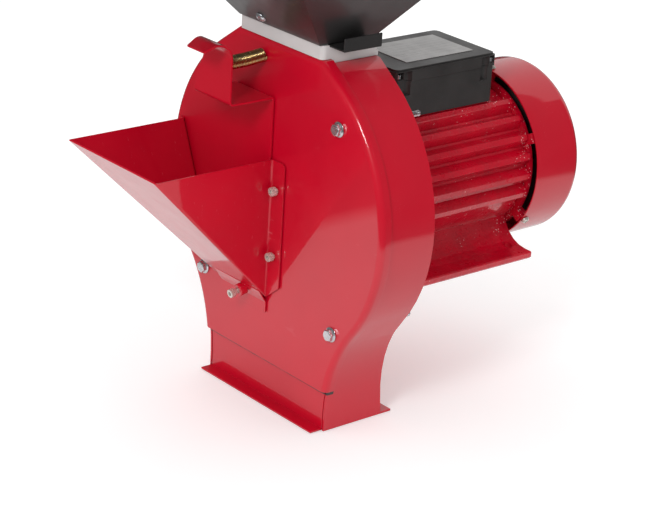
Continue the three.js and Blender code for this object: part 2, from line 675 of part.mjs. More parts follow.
/** Gives an open run of points in Y and Z a thickness, as bent sheet has. */
function bentSheet(run, sheet) {
  const offset = run.map(([y, z], i) => {
    const [py, pz] = run[Math.max(0, i - 1)];
    const [ny, nz] = run[Math.min(run.length - 1, i + 1)];
    const before = Math.atan2(z - pz, y - py);
    const after = Math.atan2(nz - z, ny - y);
    const a = i === 0 ? after : before;
    const b = i === run.length - 1 ? before : after;
    const middle = Math.atan2(Math.sin(a) + Math.sin(b), Math.cos(a) + Math.cos(b));
    const reach = sheet / Math.max(0.3, Math.cos((b - a) / 2));
    return [y - Math.sin(middle) * reach, z + Math.cos(middle) * reach];
  });
  return [...run, ...offset.reverse()];
}

function feedGate() {
  const bend = 3;
  const rear = GATE_BACK;
  const front = -GATE_SHELF_REACH;
  const curlTop = GATE_SHELF + GATE_UPRIGHT;
  const turn = degrees(GATE_CURL);
  const curl = arc(front - GATE_CURL_R + GATE_SHEET, curlTop, GATE_CURL_R, 0, turn, 15);
  const [lastY, lastZ] = curl.at(-1);
  const lip = [lastY - GATE_LIP * Math.sin(turn), lastZ + GATE_LIP * Math.cos(turn)];
  const handle = [
    ...arc(front + GATE_SHEET + bend, GATE_SHELF + bend, bend, -Math.PI / 2, -Math.PI, 30), ...curl, lip,
  ];
  // The run follows the sheet's rear and upper face, from the plate's foot to the lip's end.
  const plate = [[rear, GATE_BOTTOM], ...arc(rear - bend, GATE_SHELF - bend, bend, 0, Math.PI / 2, 30)];
  const gate = alongX(bentSheet([...plate, ...handle], GATE_SHEET), GATE_LEFT, GATE_RIGHT);
  return gate.warp((vertex) => {
    const [x, y, z] = vertex;
    if (x < GATE_RIGHT - 1 && y < front + bend && z > GATE_SHELF - 1) {
      vertex[0] = GATE_LEFT + GATE_TAPER * lengthAlong(handle, y, z);
    }
  });
}

/** Length of an open run in Y and Z up to its point nearest to a place. */
function lengthAlong(run, y, z) {
  let length = 0;
  let nearest = { gap: Infinity, length: 0 };
  run.forEach(([runY, runZ], i) => {
    if (i > 0) {
      length += Math.hypot(runY - run[i - 1][0], runZ - run[i - 1][1]);
    }
    const gap = Math.hypot(runY - y, runZ - z);
    if (gap < nearest.gap) {
      nearest = { gap, length };
    }
  });
  return nearest.length;
}

function gateSpring() {
  const start = -GATE_SHELF_REACH + GATE_SHEET + GAP;
  const end = -GAP - 0.2;
  const path = new THREE.QuadraticBezierCurve3(
    new THREE.Vector3(SPRING_X, start, SPRING_Z - SPRING_SAG),
    new THREE.Vector3(SPRING_X, (start + end) / 2, SPRING_Z - 2 * SPRING_SAG),
    new THREE.Vector3(SPRING_X, end, SPRING_Z + SPRING_SAG),
  );
  const ring = new THREE.Shape().absarc(0, 0, SPRING_R, 0, 2 * Math.PI, false);
  ring.holes.push(new THREE.Path().absarc(0, 0, SPRING_R - SPRING_WIRE, 0, 2 * Math.PI, true));
  const coil = solid(
    new THREE.ExtrudeGeometry(ring, { steps: 8, extrudePath: path, curveSegments: 6 }),
  );
  return coil.intersect(block(SPRING_X - 20, SPRING_X + 20, start, end, SPRING_Z - 30, SPRING_Z + 30));
}

/** Moves a piece built along Y into the lock's tilted axis. */
function onLockAxis(body) {
  return body.rotate([LOCK_TILT, 0, 0]).translate([LOCK_X, LOCK_NUT_Y, LOCK_NUT_Z]);
}

function lockBore() {
  const half = LOCK_NUT_LENGTH / 2;
  const nutRoom = rod(LOCK_NUT_R + GAP, -half - GAP, half + GAP, SMALL);
  return onLockAxis(join(nutRoom, rod(CAP_SHANK_R + 2 * GAP, -20, 8.2, SMALL)));
}

function lockNut() {
  const half = LOCK_NUT_LENGTH / 2;
  return onLockAxis(tube(CAP_SHANK_R + GAP, LOCK_NUT_R, -half, half, SMALL));
}

function lockScrew() {
  const headGap = 4.5;
  const seat = -LOCK_NUT_LENGTH / 2 - headGap;
  const length = headGap + LOCK_NUT_LENGTH + 3.2;
  return onLockAxis(capScrew(length).translate([0, seat, 0]));
}

// ---- Hopper, spacer and slide -------------------------------------------------------------------

function hopperSpacer() {
  const base = COVER_TOP + GAP;
  const upper = alongZ(
    roundedBox(-SPACER_HALF, SPACER_HALF, SPACER_FRONT, SPACER_REAR, SPACER_CORNER), base, SPACER_TOP,
  );
  const lower = block(
    -SPACER_HALF, SPACER_HALF, RIM_DEPTH + GAP, SPACER_REAR - 1, HOUSING_TOP + GAP, base + 1,
  );
  const groove = block(
    SLIDE_END - GAP, SPACER_HALF + 5, SLIDE_Y0 - GAP, SLIDE_Y1 + GAP, SPACER_TOP - SLIDE_SHEET - GAP,
    SPACER_TOP + 5,
  );
  const throat = block(-THROAT_X, THROAT_X, THROAT_Y0, THROAT_Y1, HOUSING_TOP - 5, SPACER_TOP + 5);
  return cut(join(upper, lower), groove, throat);
}

function hopperSlide() {
  const low = SPACER_TOP - SLIDE_SHEET;
  const plate = block(SLIDE_END, SLIDE_OUT, SLIDE_Y0, SLIDE_Y1, low, SPACER_TOP);
  const handle = block(
    SLIDE_OUT - SLIDE_SHEET, SLIDE_OUT, SLIDE_Y0, SLIDE_Y1, low, low + SLIDE_HANDLE,
  );
  return join(plate, handle);
}

/** A four-sided funnel between two heights, leaning out as the hopper does, shrunk by a sheet. */
function funnel(sheet, low, high) {
  const insetX = sheet * Math.hypot(1, HOPPER_FLARE_X);
  const insetY = sheet * Math.hypot(1, HOPPER_FLARE_Y);
  const corners = [low, high].flatMap((z) => {
    const rise = z - HOPPER_BASE;
    const x = HOPPER_HALF + HOPPER_FLARE_X * rise - insetX;
    const front = HOPPER_FRONT - HOPPER_FLARE_Y * rise + insetY;
    const rear = HOPPER_REAR + HOPPER_FLARE_Y * rise - insetY;
    return [[-x, front], [x, front], [x, rear], [-x, rear]].map(([a, b]) => new THREE.Vector3(a, b, z));
  });
  return solid(new ConvexGeometry(corners));
}

function hopper() {
  const mouth = HOPPER_BASE + HOPPER_HEIGHT;
  const x = HOPPER_HALF + HOPPER_FLARE_X * HOPPER_HEIGHT;
  const front = HOPPER_FRONT - HOPPER_FLARE_Y * HOPPER_HEIGHT;
  const rear = HOPPER_REAR + HOPPER_FLARE_Y * HOPPER_HEIGHT;
  const sheet = HOPPER_SHEET;
  const rim = cut(
    block(-x, x, front, rear, mouth - 0.5, mouth + HOPPER_RIM),
    block(-x + sheet, x - sheet, front + sheet, rear - sheet, mouth - 5, mouth + HOPPER_RIM + 5),
  );
  const funnelWalls = cut(funnel(0, HOPPER_BASE, mouth), funnel(sheet, HOPPER_BASE - 5, mouth + 5));
  const base = cut(
    block(-HOPPER_HALF, HOPPER_HALF, HOPPER_FRONT, HOPPER_REAR, HOPPER_BASE, HOPPER_BASE + sheet),
    block(-THROAT_X, THROAT_X, THROAT_Y0, THROAT_Y1, HOPPER_BASE - 5, HOPPER_BASE + 5),
  );
  const bore = onHopperFront(rod(BOLT_R + GAP, -8, 8, SMALL));
  return cut(join(base, funnelWalls, rim), bore, onHopperRear(bore));
}

/** Moves a piece built along Y onto the hopper's leaning front wall, with y = 0 on the wall. */
function onHopperFront(body) {
  const lean = (Math.atan(HOPPER_FLARE_Y) * 180) / Math.PI;
  const y = HOPPER_FRONT - HOPPER_FLARE_Y * HOPPER_BOLT_RISE;
  return body.rotate([lean, 0, 0]).translate([HOPPER_BOLT_X, y, HOPPER_BASE + HOPPER_BOLT_RISE]);
}

/** Turns a piece on the hopper's front wall half round the hopper to its rear wall. */
const onHopperRear = (body) => body.rotate([0, 0, 180]).translate([0, HOPPER_FRONT + HOPPER_REAR, 0]);

function hopperBolt() {
  const head = turned([[0, -3.4], [3.4, -3.4], [5.4, -GAP], [0, -GAP]], SMALL);
  return onHopperFront(join(head, rod(BOLT_R, -1, 5, SMALL)));
}

// ---- Sieve and mill rotor -----------------------------------------------------------------------

/** Moves a piece from the shaft's axis at the origin to its height in the mill. */
const onShaft = (body) => body.translate([0, 0, AXIS_Z]);

/** Turns a piece about the shaft, by degrees clockwise from the top seen from the front. */
const aroundShaft = (body, angle) => body.rotate([0, angle, 0]);

function sieve() {
  const ring = tube(SIEVE_R - SIEVE_SHEET, SIEVE_R, SIEVE_Y0, SIEVE_Y1, LARGE);
  const half = degrees(SIEVE_OPEN / 2);
  const far = 2 * SIEVE_R;
  const window = alongY(
    [[0, 0], [far * Math.sin(half), far * Math.cos(half)], [-far * Math.sin(half), far * Math.cos(half)]],
    SIEVE_Y0 - 5, SIEVE_Y1 + 5,
  );
  const rowPitch = (SIEVE_Y1 - SIEVE_Y0) / SIEVE_ROWS;
  const span = 360 - SIEVE_OPEN - 20;
  const punches = [];
  for (let column = 0; column < SIEVE_COLUMNS; column += 1) {
    const angle = 180 - span / 2 + (span * (column + 0.5)) / SIEVE_COLUMNS;
    for (let row = 0; row < SIEVE_ROWS; row += 1) {
      const y = SIEVE_Y0 + rowPitch * (row + 0.5);
      const punch = block(
        -SIEVE_HOLE / 2, SIEVE_HOLE / 2, y - SIEVE_HOLE / 2, y + SIEVE_HOLE / 2, SIEVE_R - 5, SIEVE_R + 5,
      );
      punches.push(aroundShaft(punch, angle));
    }
  }
  return onShaft(cut(ring, window, ...punches));
}

const PIN_ANGLES = [45, 135, 225, 315];

const pinPlace = (angle) => [
  PIN_CIRCLE_R * Math.sin(degrees(angle)),
  PIN_CIRCLE_R * Math.cos(degrees(angle)),
];

function rotorDisc(y) {
  const holes = PIN_ANGLES.map((angle) => {
    const [x, z] = pinPlace(angle);
    return rod(PIN_R + GAP, y - 5, y + 10, SMALL, x, z);
  });
  return onShaft(cut(tube(SHAFT_R + GAP, DISC_R, y, y + DISC_THICK, LARGE), ...holes));
}

function hubSpacer() {
  return onShaft(tube(SHAFT_R + GAP, HUB_R, FRONT_DISC_Y + DISC_THICK + GAP, REAR_DISC_Y - GAP, MEDIUM));
}

function hammerPin(angle) {
  const [x, z] = pinPlace(angle);
  const front = FRONT_DISC_Y - GAP;
  const rear = REAR_DISC_Y + DISC_THICK + GAP;
  const sleeveFront = [FRONT_DISC_Y + DISC_THICK + GAP, HAMMER_Y - GAP];
  const sleeveRear = [HAMMER_Y + HAMMER_THICK + GAP, REAR_DISC_Y - GAP];
  const collar = ([y0, y1]) => rod(PIN_HEAD_R, y0, y1, SMALL, x, z);
  const pin = join(
    rod(PIN_R, front - 1, rear + 1, SMALL, x, z),
    collar([front - PIN_HEAD, front]),
    collar(sleeveFront),
    collar(sleeveRear),
    collar([rear, rear + PIN_HEAD]),
  );
  return onShaft(pin);
}

/** A swinging hammer that hangs straight down from its pin. */
function hammer(angle) {
  const [x, z] = pinPlace(angle);
  const half = HAMMER_WIDTH / 2;
  const bar = [
    ...arc(0, 0, half, 0, Math.PI, 30),
    [-half, -HAMMER_LENGTH],
    [half, -HAMMER_LENGTH],
  ];
  const body = alongY(bar, HAMMER_Y, HAMMER_Y + HAMMER_THICK);
  const bore = rod(PIN_R + GAP, HAMMER_Y - 5, HAMMER_Y + HAMMER_THICK + 5, SMALL);
  return onShaft(cut(body, bore).translate([x, 0, z]));
}

function rotorShaft() {
  const seat = FRONT_DISC_Y - GAP;
  const shoulder = REAR_DISC_Y + DISC_THICK + GAP;
  const front = BEARING_Y - GAP;
  const rear = REAR_BEARING_Y - GAP;
  const profile = [
    [0, SHAFT_NOSE_Y],
    [SHAFT_THREAD_R, SHAFT_NOSE_Y],
    [SHAFT_THREAD_R, seat],
    [SHAFT_R, seat],
    [SHAFT_R, shoulder],
    [SHAFT_SHOULDER_R, shoulder],
    [SHAFT_SHOULDER_R, front],
    [SHAFT_R, front],
    [SHAFT_R, rear],
    [REAR_SHAFT_R, rear],
    [REAR_SHAFT_R, SHAFT_TAIL_Y],
    [0, SHAFT_TAIL_Y],
  ];
  return onShaft(turned(profile, MEDIUM));
}

function shaftNut() {
  const rear = FRONT_DISC_Y - GAP;
  const front = rear - SHAFT_NUT;
  const washer = rod(HUB_R, rear - 2, rear, MEDIUM);
  const nut = hexBar(SHAFT_NUT_AF, front, rear - 1);
  return onShaft(cut(join(washer, nut), rod(SHAFT_THREAD_R + GAP, front - 5, rear + 5, MEDIUM)));
}

// ---- Motor --------------------------------------------------------------------------------------

/** Outline in X and Z of the ribbed frame's outside, seen from the front, about the shaft. */
function finnedRing() {
  const points = [];
  const ring = (radius, angle) => [radius * Math.sin(degrees(angle)), radius * Math.cos(degrees(angle))];
  const spread = (half, radius) => (Math.asin(half / radius) * 180) / Math.PI;
  const fins = [];
  for (let i = 0; i < FIN_COUNT; i += 1) {
    const angle = FIN_FIRST + i * FIN_PITCH;
    fins.push(angle, 360 - angle);
  }
  fins.sort((a, b) => a - b);
  let last = 0;
  const walk = (to) => {
    const steps = Math.max(1, Math.round((to - last) / 8));
    for (let i = 0; i < steps; i += 1) {
      points.push(ring(MOTOR_ROOT_R, last + ((to - last) * i) / steps));
    }
  };
  fins.forEach((angle) => {
    const root = spread(FIN_ROOT, MOTOR_ROOT_R);
    const tip = spread(FIN_TIP, MOTOR_FIN_R);
    walk(angle - root);
    points.push(ring(MOTOR_ROOT_R, angle - root));
    points.push(ring(MOTOR_FIN_R, angle - tip));
    points.push(ring(MOTOR_FIN_R, angle + tip));
    last = angle + root;
  });
  walk(360);
  return points;
}

/** Foot profile in X and Z: a flat plate with a concave web up to the frame on each side. */
function footProfile() {
  const base = FOOT_PLANE - AXIS_Z;
  const top = base + FOOT_THICK;
  const webX = 50;
  const webFoot = webX + 12;
  const side = [
    [FOOT_HALF - 2, base],
    [FOOT_HALF, base + 2],
    [FOOT_HALF, top - 1],
    [FOOT_HALF - 1, top],
    ...arc(webFoot + FOOT_WEB_R * 0.6, top + FOOT_WEB_R, FOOT_WEB_R, -Math.PI / 2, -Math.PI, 15),
  ];
  const mirrored = side.map(([x, z]) => [-x, z]).reverse();
  return [...side, ...mirrored];
}

function motorFrame() {
  const ring = alongY(finnedRing(), MOTOR_FRONT + GAP, MOTOR_REAR);
  const foot = alongY(footProfile(), FOOT_Y0, MOTOR_REAR);
  const padHalf = BOX_HALF - 4;
  const pad = block(
    -padHalf, padHalf, BOX_Y0 + 2, BOX_Y1 - 2, MOTOR_BORE_R - 14, PAD_TOP - AXIS_Z,
  );
  const notch = block(
    -BOX_HALF - 3, BOX_HALF + 3, BOX_Y0 - 3, BOX_Y1 + 3, PAD_TOP - AXIS_Z, MOTOR_FIN_R + 10,
  );
  const bore = rod(MOTOR_BORE_R, 0, MOTOR_REAR + 20, LARGE);
  const wireHole = rod(8, 0, 60, SMALL).rotate([90, 0, 0]).translate([0, (BOX_Y0 + BOX_Y1) / 2, 40]);
  const relief = block(-46, 46, FOOT_Y0 - 1, MOTOR_REAR + 1, FOOT_PLANE - AXIS_Z - 1, -MOTOR_ROOT_R - 5);
  const holes = footHoles().map(([x, y]) =>
    rod(FOOT_HOLE_R, 0, 60, SMALL).rotate([90, 0, 0]).translate([x, y, -110]),
  );
  return onShaft(cut(join(ring, foot, pad), bore, notch, wireHole, relief, ...holes));
}

function footHoles() {
  const half = FOOT_BOLT_SPAN_Y / 2;
  return [-FOOT_BOLT_X, FOOT_BOLT_X].flatMap((x) => [
    [x, FOOT_CENTRE_Y - half],
    [x, FOOT_CENTRE_Y + half],
  ]);
}

function frontShield() {
  const y0 = HOUSING_DEPTH + GAP;
  const seat = BEARING_Y - GAP;
  const seatEnd = BEARING_Y + BEARING_WIDTH + GAP;
  const profile = [
    [SHAFT_SHOULDER_R + 1, y0],
    [SHIELD_R - 2, y0],
    [SHIELD_R, y0 + 2],
    [SHIELD_R, MOTOR_FRONT],
    [MOTOR_BORE_R, MOTOR_FRONT],
    [MOTOR_BORE_R, y0 + 9],
    [BEARING_R + 6, y0 + 9],
    [BEARING_R + 5, seatEnd],
    [BEARING_R + GAP, seatEnd],
    [BEARING_R + GAP, seat],
    [SHAFT_SHOULDER_R + 1, seat],
  ];
  const bolts = BOLT_PLACES.map(([x, z]) => rod(BOLT_FLANGE_R + 2, 0, 120, SMALL, x, z - AXIS_Z));
  return onShaft(cut(turned(profile, LARGE), ...bolts));
}

function bearing(inner, outer, y0, width) {
  const middle = (inner + outer) / 2;
  const groove = 1.6;
  const profile = [
    [inner, y0],
    [middle - 2, y0],
    [middle - 2, y0 + groove],
    [middle + 2, y0 + groove],
    [middle + 2, y0],
    [outer, y0],
    [outer, y0 + width],
    [inner, y0 + width],
  ];
  return onShaft(turned(profile, MEDIUM));
}

function stator() {
  const outer = MOTOR_BORE_R - GAP;
  const coilInner = STATOR_INNER_R + 4;
  const coilOuter = outer - 4;
  const profile = [
    [STATOR_INNER_R, STATOR_Y0],
    [coilInner, STATOR_Y0],
    [coilInner + 2, STATOR_Y0 - WINDING],
    [coilOuter - 4, STATOR_Y0 - WINDING],
    [coilOuter, STATOR_Y0],
    [outer, STATOR_Y0],
    [outer, STATOR_Y1],
    [coilOuter, STATOR_Y1],
    [coilOuter - 4, STATOR_Y1 + WINDING],
    [coilInner + 2, STATOR_Y1 + WINDING],
    [coilInner, STATOR_Y1],
    [STATOR_INNER_R, STATOR_Y1],
  ];
  return onShaft(turned(profile, MEDIUM));
}

function rotorCore() {
  return onShaft(tube(SHAFT_R + GAP, STATOR_INNER_R - AIR_GAP, STATOR_Y0, STATOR_Y1, MEDIUM));
}

function rearShield() {
  const y0 = MOTOR_REAR + GAP;
  const seat = REAR_BEARING_Y - GAP;
  const end = REAR_BEARING_Y + REAR_BEARING_WIDTH + GAP;
  const lip = REAR_SHAFT_R + 3;
  const profile = [
    [lip, end],
    [lip, end + 2],
    [REAR_BEARING_R + 5, end + 2],
    [REAR_BEARING_R + 6, y0 + 8],
    [SHIELD_R - 3, y0 + 8],
    [SHIELD_R, y0 + 5],
    [SHIELD_R, y0],
    [MOTOR_BORE_R - 3, y0],
    [MOTOR_BORE_R - 4, y0 + 3],
    [REAR_BEARING_R + GAP, y0 + 3],
    [REAR_BEARING_R + GAP, end],
  ];
  const reach = COWL_R - COWL_SHEET - GAP;
  const lugs = cowlLugAngles().map((angle) =>
    aroundShaft(block(-5, 5, y0, y0 + 8, SHIELD_R - 6, reach - 0.2), angle),
  );
  const bores = cowlScrewAngles().map((angle) => aroundShaft(cowlScrewBore(), angle));
  const keep = rod(reach, seat - 30, end + 30, LARGE);
  return onShaft(cut(join(turned(profile, LARGE), ...lugs).intersect(keep), ...bores));
}

const cowlLugAngles = () => [0, 1, 2, 3, 4, 5].map((i) => COWL_LUG_FIRST + 60 * i);
const cowlScrewAngles = () => [0, 1, 2].map((i) => COWL_LUG_FIRST + 120 * i);
const COWL_SCREW_Y = MOTOR_REAR + 6.6;

/** Bore for a radial cowl screw at the top; the others are turned round the shaft. */
function cowlScrewBore() {
  return rod(2 + GAP, 0, 30, SMALL).rotate([90, 0, 0]).translate([0, COWL_SCREW_Y, COWL_R - 16]);
}

function cowlScrew(angle) {
  const head = turned([[0, -0.5], [4, -0.5], [4, 0.8], [2.4, 2.6], [0, 2.6]], SMALL);
  const shank = rod(2, -8, 0, SMALL);
  const upright = join(head, shank).rotate([90, 0, 0]).translate([0, COWL_SCREW_Y, COWL_R + 1]);
  return onShaft(aroundShaft(upright, angle));
}

function coolingFan() {
  const hub = tube(REAR_SHAFT_R + GAP, 16, FAN_Y, FAN_Y + 18, MEDIUM);
  const plate = tube(15, FAN_R, FAN_Y, FAN_Y + 2, MEDIUM);
  const blades = Array.from({ length: FAN_BLADES }, (_, i) =>
    aroundShaft(block(-1, 1, FAN_Y + 1, FAN_Y + 20, 15, FAN_R - 1), (360 * i) / FAN_BLADES),
  );
  return onShaft(join(hub, plate, ...blades));
}

function fanCowl() {
  const outer = COWL_R;
  const inner = COWL_R - COWL_SHEET;
  const round = arc(outer - COWL_ROUND, COWL_Y1 - COWL_ROUND, COWL_ROUND, 0, Math.PI / 2, 30);
  const innerRound = COWL_ROUND - COWL_SHEET;
  const insideRound = arc(
    outer - COWL_ROUND, COWL_Y1 - COWL_ROUND, innerRound, Math.PI / 2, 0, 30,
  );
  const profile = [
    [0, COWL_Y1 - COWL_SHEET],
    ...insideRound,
    [inner, COWL_Y0],
    [outer, COWL_Y0],
    ...round,
    [0, COWL_Y1],
  ];
  const slots = Array.from({ length: COWL_SLOTS }, (_, i) =>
    aroundShaft(block(-3, 3, COWL_Y1 - 10, COWL_Y1 + 10, 24, 66), (360 * i) / COWL_SLOTS),
  );
  const screws = cowlScrewAngles().map((angle) => aroundShaft(cowlScrewBore(), angle));
  return onShaft(cut(turned(profile, LARGE), ...slots, ...screws));
}

// ---- Terminal box -------------------------------------------------------------------------------

/** The four lid screws of the terminal box, as [x, y]. */
function lidScrewPlaces() {
  const inX = BOX_HALF - 4.4;
  return [-inX, inX].flatMap((x) => [
    [x, BOX_Y0 + 6],
    [x, BOX_Y1 - 6],
  ]);
}

/** The deeper pockets beside the lid screws, as [x, y]. */
function pocketPlaces() {
  return lidScrewPlaces().map(([x, y]) => {
    const inwards = Math.sign((BOX_Y0 + BOX_Y1) / 2 - y);
    return [x + 4 * Math.sign(x), y + inwards * POCKET_PITCH];
  });
}

const postAt = (radius, z0, z1, x, y, segments = SMALL) =>
  rod(radius, 0, z1 - z0, segments).rotate([90, 0, 0]).translate([x, y, z0]);

function terminalBox() {
  const outer = roundedBox(-BOX_HALF + 1, BOX_HALF - 1, BOX_Y0 + 1, BOX_Y1 - 1, BOX_CORNER);
  const inset = 1 + BOX_WALL;
  const inner = roundedBox(-BOX_HALF + inset, BOX_HALF - inset, BOX_Y0 + inset, BOX_Y1 - inset, 3);
  const body = alongZ(outer, BOX_BASE, LID_BASE - GAP);
  const cavity = alongZ(inner, BOX_BASE + BOX_WALL, LID_BASE + 5);
  const bosses = [...lidScrewPlaces(), ...pocketPlaces()].map(([x, y]) =>
    postAt(POCKET_R + 3, BOX_BASE + 1, LID_BASE - GAP, x, y).intersect(body),
  );
  const pockets = pocketPlaces().map(([x, y]) => postAt(POCKET_R, BOX_TOP - POCKET_DEPTH, BOX_TOP, x, y));
  const bores = lidScrewPlaces().map(([x, y]) => postAt(2 + GAP, LID_BASE - 20, LID_BASE + 5, x, y));
  const wireHole = postAt(8, BOX_BASE - 5, BOX_BASE + 10, 0, (BOX_Y0 + BOX_Y1) / 2);
  const glandBore = alongX(ringPoints(GLAND_R - 2, GLAND_Y, glandHeight()), -BOX_HALF - 5, -BOX_HALF + 10);
  return cut(join(cut(body, cavity), ...bosses), ...pockets, ...bores, wireHole, glandBore);
}

const glandHeight = () => (BOX_BASE + LID_BASE) / 2;

function ringPoints(radius, y, z) {
  return arc(y, z, radius, 0, 2 * Math.PI, 20).slice(0, -1);
}

function terminalLid() {
  const lower = roundedBox(-BOX_HALF, BOX_HALF, BOX_Y0, BOX_Y1, BOX_CORNER);
  const chamfer = 1.5;
  const upper = roundedBox(
    -BOX_HALF + chamfer, BOX_HALF - chamfer, BOX_Y0 + chamfer, BOX_Y1 - chamfer, BOX_CORNER,
  );
  const inner = roundedBox(-BOX_HALF + 4, BOX_HALF - 4, BOX_Y0 + 4, BOX_Y1 - 4, 3);
  const plate = join(alongZ(lower, LID_BASE, BOX_TOP - 2), alongZ(upper, BOX_TOP - 3, BOX_TOP));
  const hollow = alongZ(inner, LID_BASE - 5, BOX_TOP - BOX_WALL);
  const screws = lidScrewPlaces();
  const pockets = pocketPlaces();
  const bosses = [...screws, ...pockets].map(([x, y]) =>
    postAt(POCKET_R + 2, LID_BASE, BOX_TOP - 1, x, y).intersect(plate),
  );
  const bores = screws.map(([x, y]) => postAt(2 + GAP, LID_BASE - 5, BOX_TOP - POCKET_ROOF, x, y));
  const open = [
    ...pockets.map(([x, y]) => postAt(POCKET_R, LID_BASE - 5, BOX_TOP - POCKET_ROOF, x, y)),
    ...screws.map(([x, y]) => screwPocket(x, y)),
  ];
  return cut(join(cut(plate, hollow), ...bosses), ...bores, ...open);
}

/** Room round a lid screw's head, open to the lid's long side. */
function screwPocket(x, y) {
  const low = LID_BASE + LEDGE;
  const high = BOX_TOP - POCKET_ROOF;
  const side = x + 8 * Math.sign(x);
  const way = block(
    Math.min(x, side), Math.max(x, side), y - LID_SCREW_R - GAP, y + LID_SCREW_R + GAP, low, high,
  );
  return join(postAt(LID_SCREW_R + GAP, low, high, x, y), way);
}

function lidScrew(x, y) {
  const seat = LID_BASE + LEDGE + GAP;
  return join(
    postAt(LID_SCREW_R, seat, seat + LID_SCREW_HEAD, x, y),
    postAt(2, seat - 20, seat + 1, x, y),
  );
}

function runCapacitor() {
  const z = BOX_BASE + BOX_WALL + GAP + CAPACITOR_R;
  const y0 = BOX_Y1 - 12 - CAPACITOR_LENGTH;
  return rod(CAPACITOR_R, y0, y0 + CAPACITOR_LENGTH, MEDIUM, 18, z);
}

function cableGland() {
  const z = glandHeight();
  const wall = -BOX_HALF + 1;
  const nut = alongX(arc(GLAND_Y, z, GLAND_R + 1, 0, 2 * Math.PI, 60).slice(0, -1), wall - 6, wall - GAP);
  const collar = alongX(ringPoints(GLAND_R - 1, GLAND_Y, z), wall - 16, wall - 5);
  const neck = alongX(ringPoints(GLAND_R - 2 - GAP, GLAND_Y, z), wall - 2, wall + 6);
  const bore = alongX(ringPoints(4, GLAND_Y, z), wall - 20, wall + 10);
  return cut(join(nut, collar, neck), bore);
}

// ---- Assembly -----------------------------------------------------------------------------------

place('mill_housing', millHousing(), RED_SHEET);
place('outlet_front_panel', outletFrontPanel(), RED_SHEET);
place('front_cover', frontCover(), RED_SHEET);
BOLT_PLACES.forEach(([x, z], i) => {
  place(`cover_bolt_${i + 1}`, coverBolt(x, z), ZINC);
  place(`cover_nut_${i + 1}`, coverNut(x, z), ZINC);
});

place('feed_chute', feedChute(), RED_SHEET);
chuteScrewPlaces().forEach(([x, z], i) => {
  place(`chute_screw_${i + 1}`, chuteScrew(x, z), CAP_STEEL);
});
place('feed_gate', feedGate(), RED_SHEET);
place('gate_spring', gateSpring(), GOLD_ZINC);
place('lock_nut', lockNut(), RED_SHEET);
place('lock_screw', lockScrew(), CAP_STEEL);

place('hopper_spacer', hopperSpacer(), WHITE_PLASTIC);
place('hopper_slide', hopperSlide(), BLACK_SHEET);
place('hopper', hopper(), BLACK_SHEET);
place('hopper_bolt_1', hopperBolt(), ZINC);
place('hopper_bolt_2', onHopperRear(hopperBolt()), ZINC);

place('sieve', sieve(), TOOL_STEEL);
place('rotor_disc_front', rotorDisc(FRONT_DISC_Y), TOOL_STEEL);
place('rotor_disc_rear', rotorDisc(REAR_DISC_Y), TOOL_STEEL);
place('rotor_hub', hubSpacer(), TOOL_STEEL);
PIN_ANGLES.forEach((angle, i) => {
  place(`hammer_pin_${i + 1}`, hammerPin(angle), TOOL_STEEL);
  place(`hammer_${i + 1}`, hammer(angle), TOOL_STEEL);
});
place('rotor_shaft', rotorShaft(), TOOL_STEEL);
place('shaft_nut', shaftNut(), ZINC);

place('motor_front_shield', frontShield(), RED_CASTING);
place('motor_frame', motorFrame(), RED_CASTING);
place('motor_rear_shield', rearShield(), RED_CASTING);
place('bearing_front', bearing(SHAFT_R + GAP, BEARING_R, BEARING_Y, BEARING_WIDTH), TOOL_STEEL);
place(
  'bearing_rear',
  bearing(REAR_SHAFT_R + GAP, REAR_BEARING_R, REAR_BEARING_Y, REAR_BEARING_WIDTH),
  TOOL_STEEL,
);
place('stator', stator(), COPPER);
place('rotor_core', rotorCore(), TOOL_STEEL);
place('cooling_fan', coolingFan(), BLACK_PLASTIC);
place('fan_cowl', fanCowl(), RED_SHEET);
cowlScrewAngles().forEach((angle, i) => {
  place(`cowl_screw_${i + 1}`, cowlScrew(angle), ZINC);
});

place('terminal_box', terminalBox(), BLACK_PLASTIC);
place('terminal_lid', terminalLid(), GREY_LID);
lidScrewPlaces().forEach(([x, y], i) => {
  place(`lid_screw_${i + 1}`, lidScrew(x, y), ZINC);
});
place(
  'blank_label',
  block(LABEL_X0, LABEL_X1, LABEL_Y0, LABEL_Y1, BOX_TOP + 0.1, BOX_TOP + 0.1 + LABEL_THICK),
  SILVER_LABEL,
);
place('run_capacitor', runCapacitor(), BLACK_PLASTIC);
place('cable_gland', cableGland(), BLACK_PLASTIC);

export default mill;
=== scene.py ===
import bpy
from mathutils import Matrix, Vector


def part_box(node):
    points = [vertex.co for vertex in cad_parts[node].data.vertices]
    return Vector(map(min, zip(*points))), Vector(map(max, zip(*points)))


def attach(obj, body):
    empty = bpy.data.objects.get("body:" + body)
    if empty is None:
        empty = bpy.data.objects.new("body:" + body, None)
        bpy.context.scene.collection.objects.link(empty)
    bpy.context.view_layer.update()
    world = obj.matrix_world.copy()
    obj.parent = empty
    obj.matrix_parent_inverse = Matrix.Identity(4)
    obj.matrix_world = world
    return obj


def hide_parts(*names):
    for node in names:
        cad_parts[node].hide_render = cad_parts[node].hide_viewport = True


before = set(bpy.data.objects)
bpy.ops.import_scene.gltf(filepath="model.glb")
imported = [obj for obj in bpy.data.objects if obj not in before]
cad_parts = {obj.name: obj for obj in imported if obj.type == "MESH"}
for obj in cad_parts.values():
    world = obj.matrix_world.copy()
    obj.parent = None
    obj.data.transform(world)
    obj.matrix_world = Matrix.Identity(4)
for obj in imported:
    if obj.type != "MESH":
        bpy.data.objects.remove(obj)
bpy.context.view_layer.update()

import math

import bpy
from bpy.props import FloatProperty, FloatVectorProperty, IntProperty, PointerProperty
from mathutils import Matrix, Vector

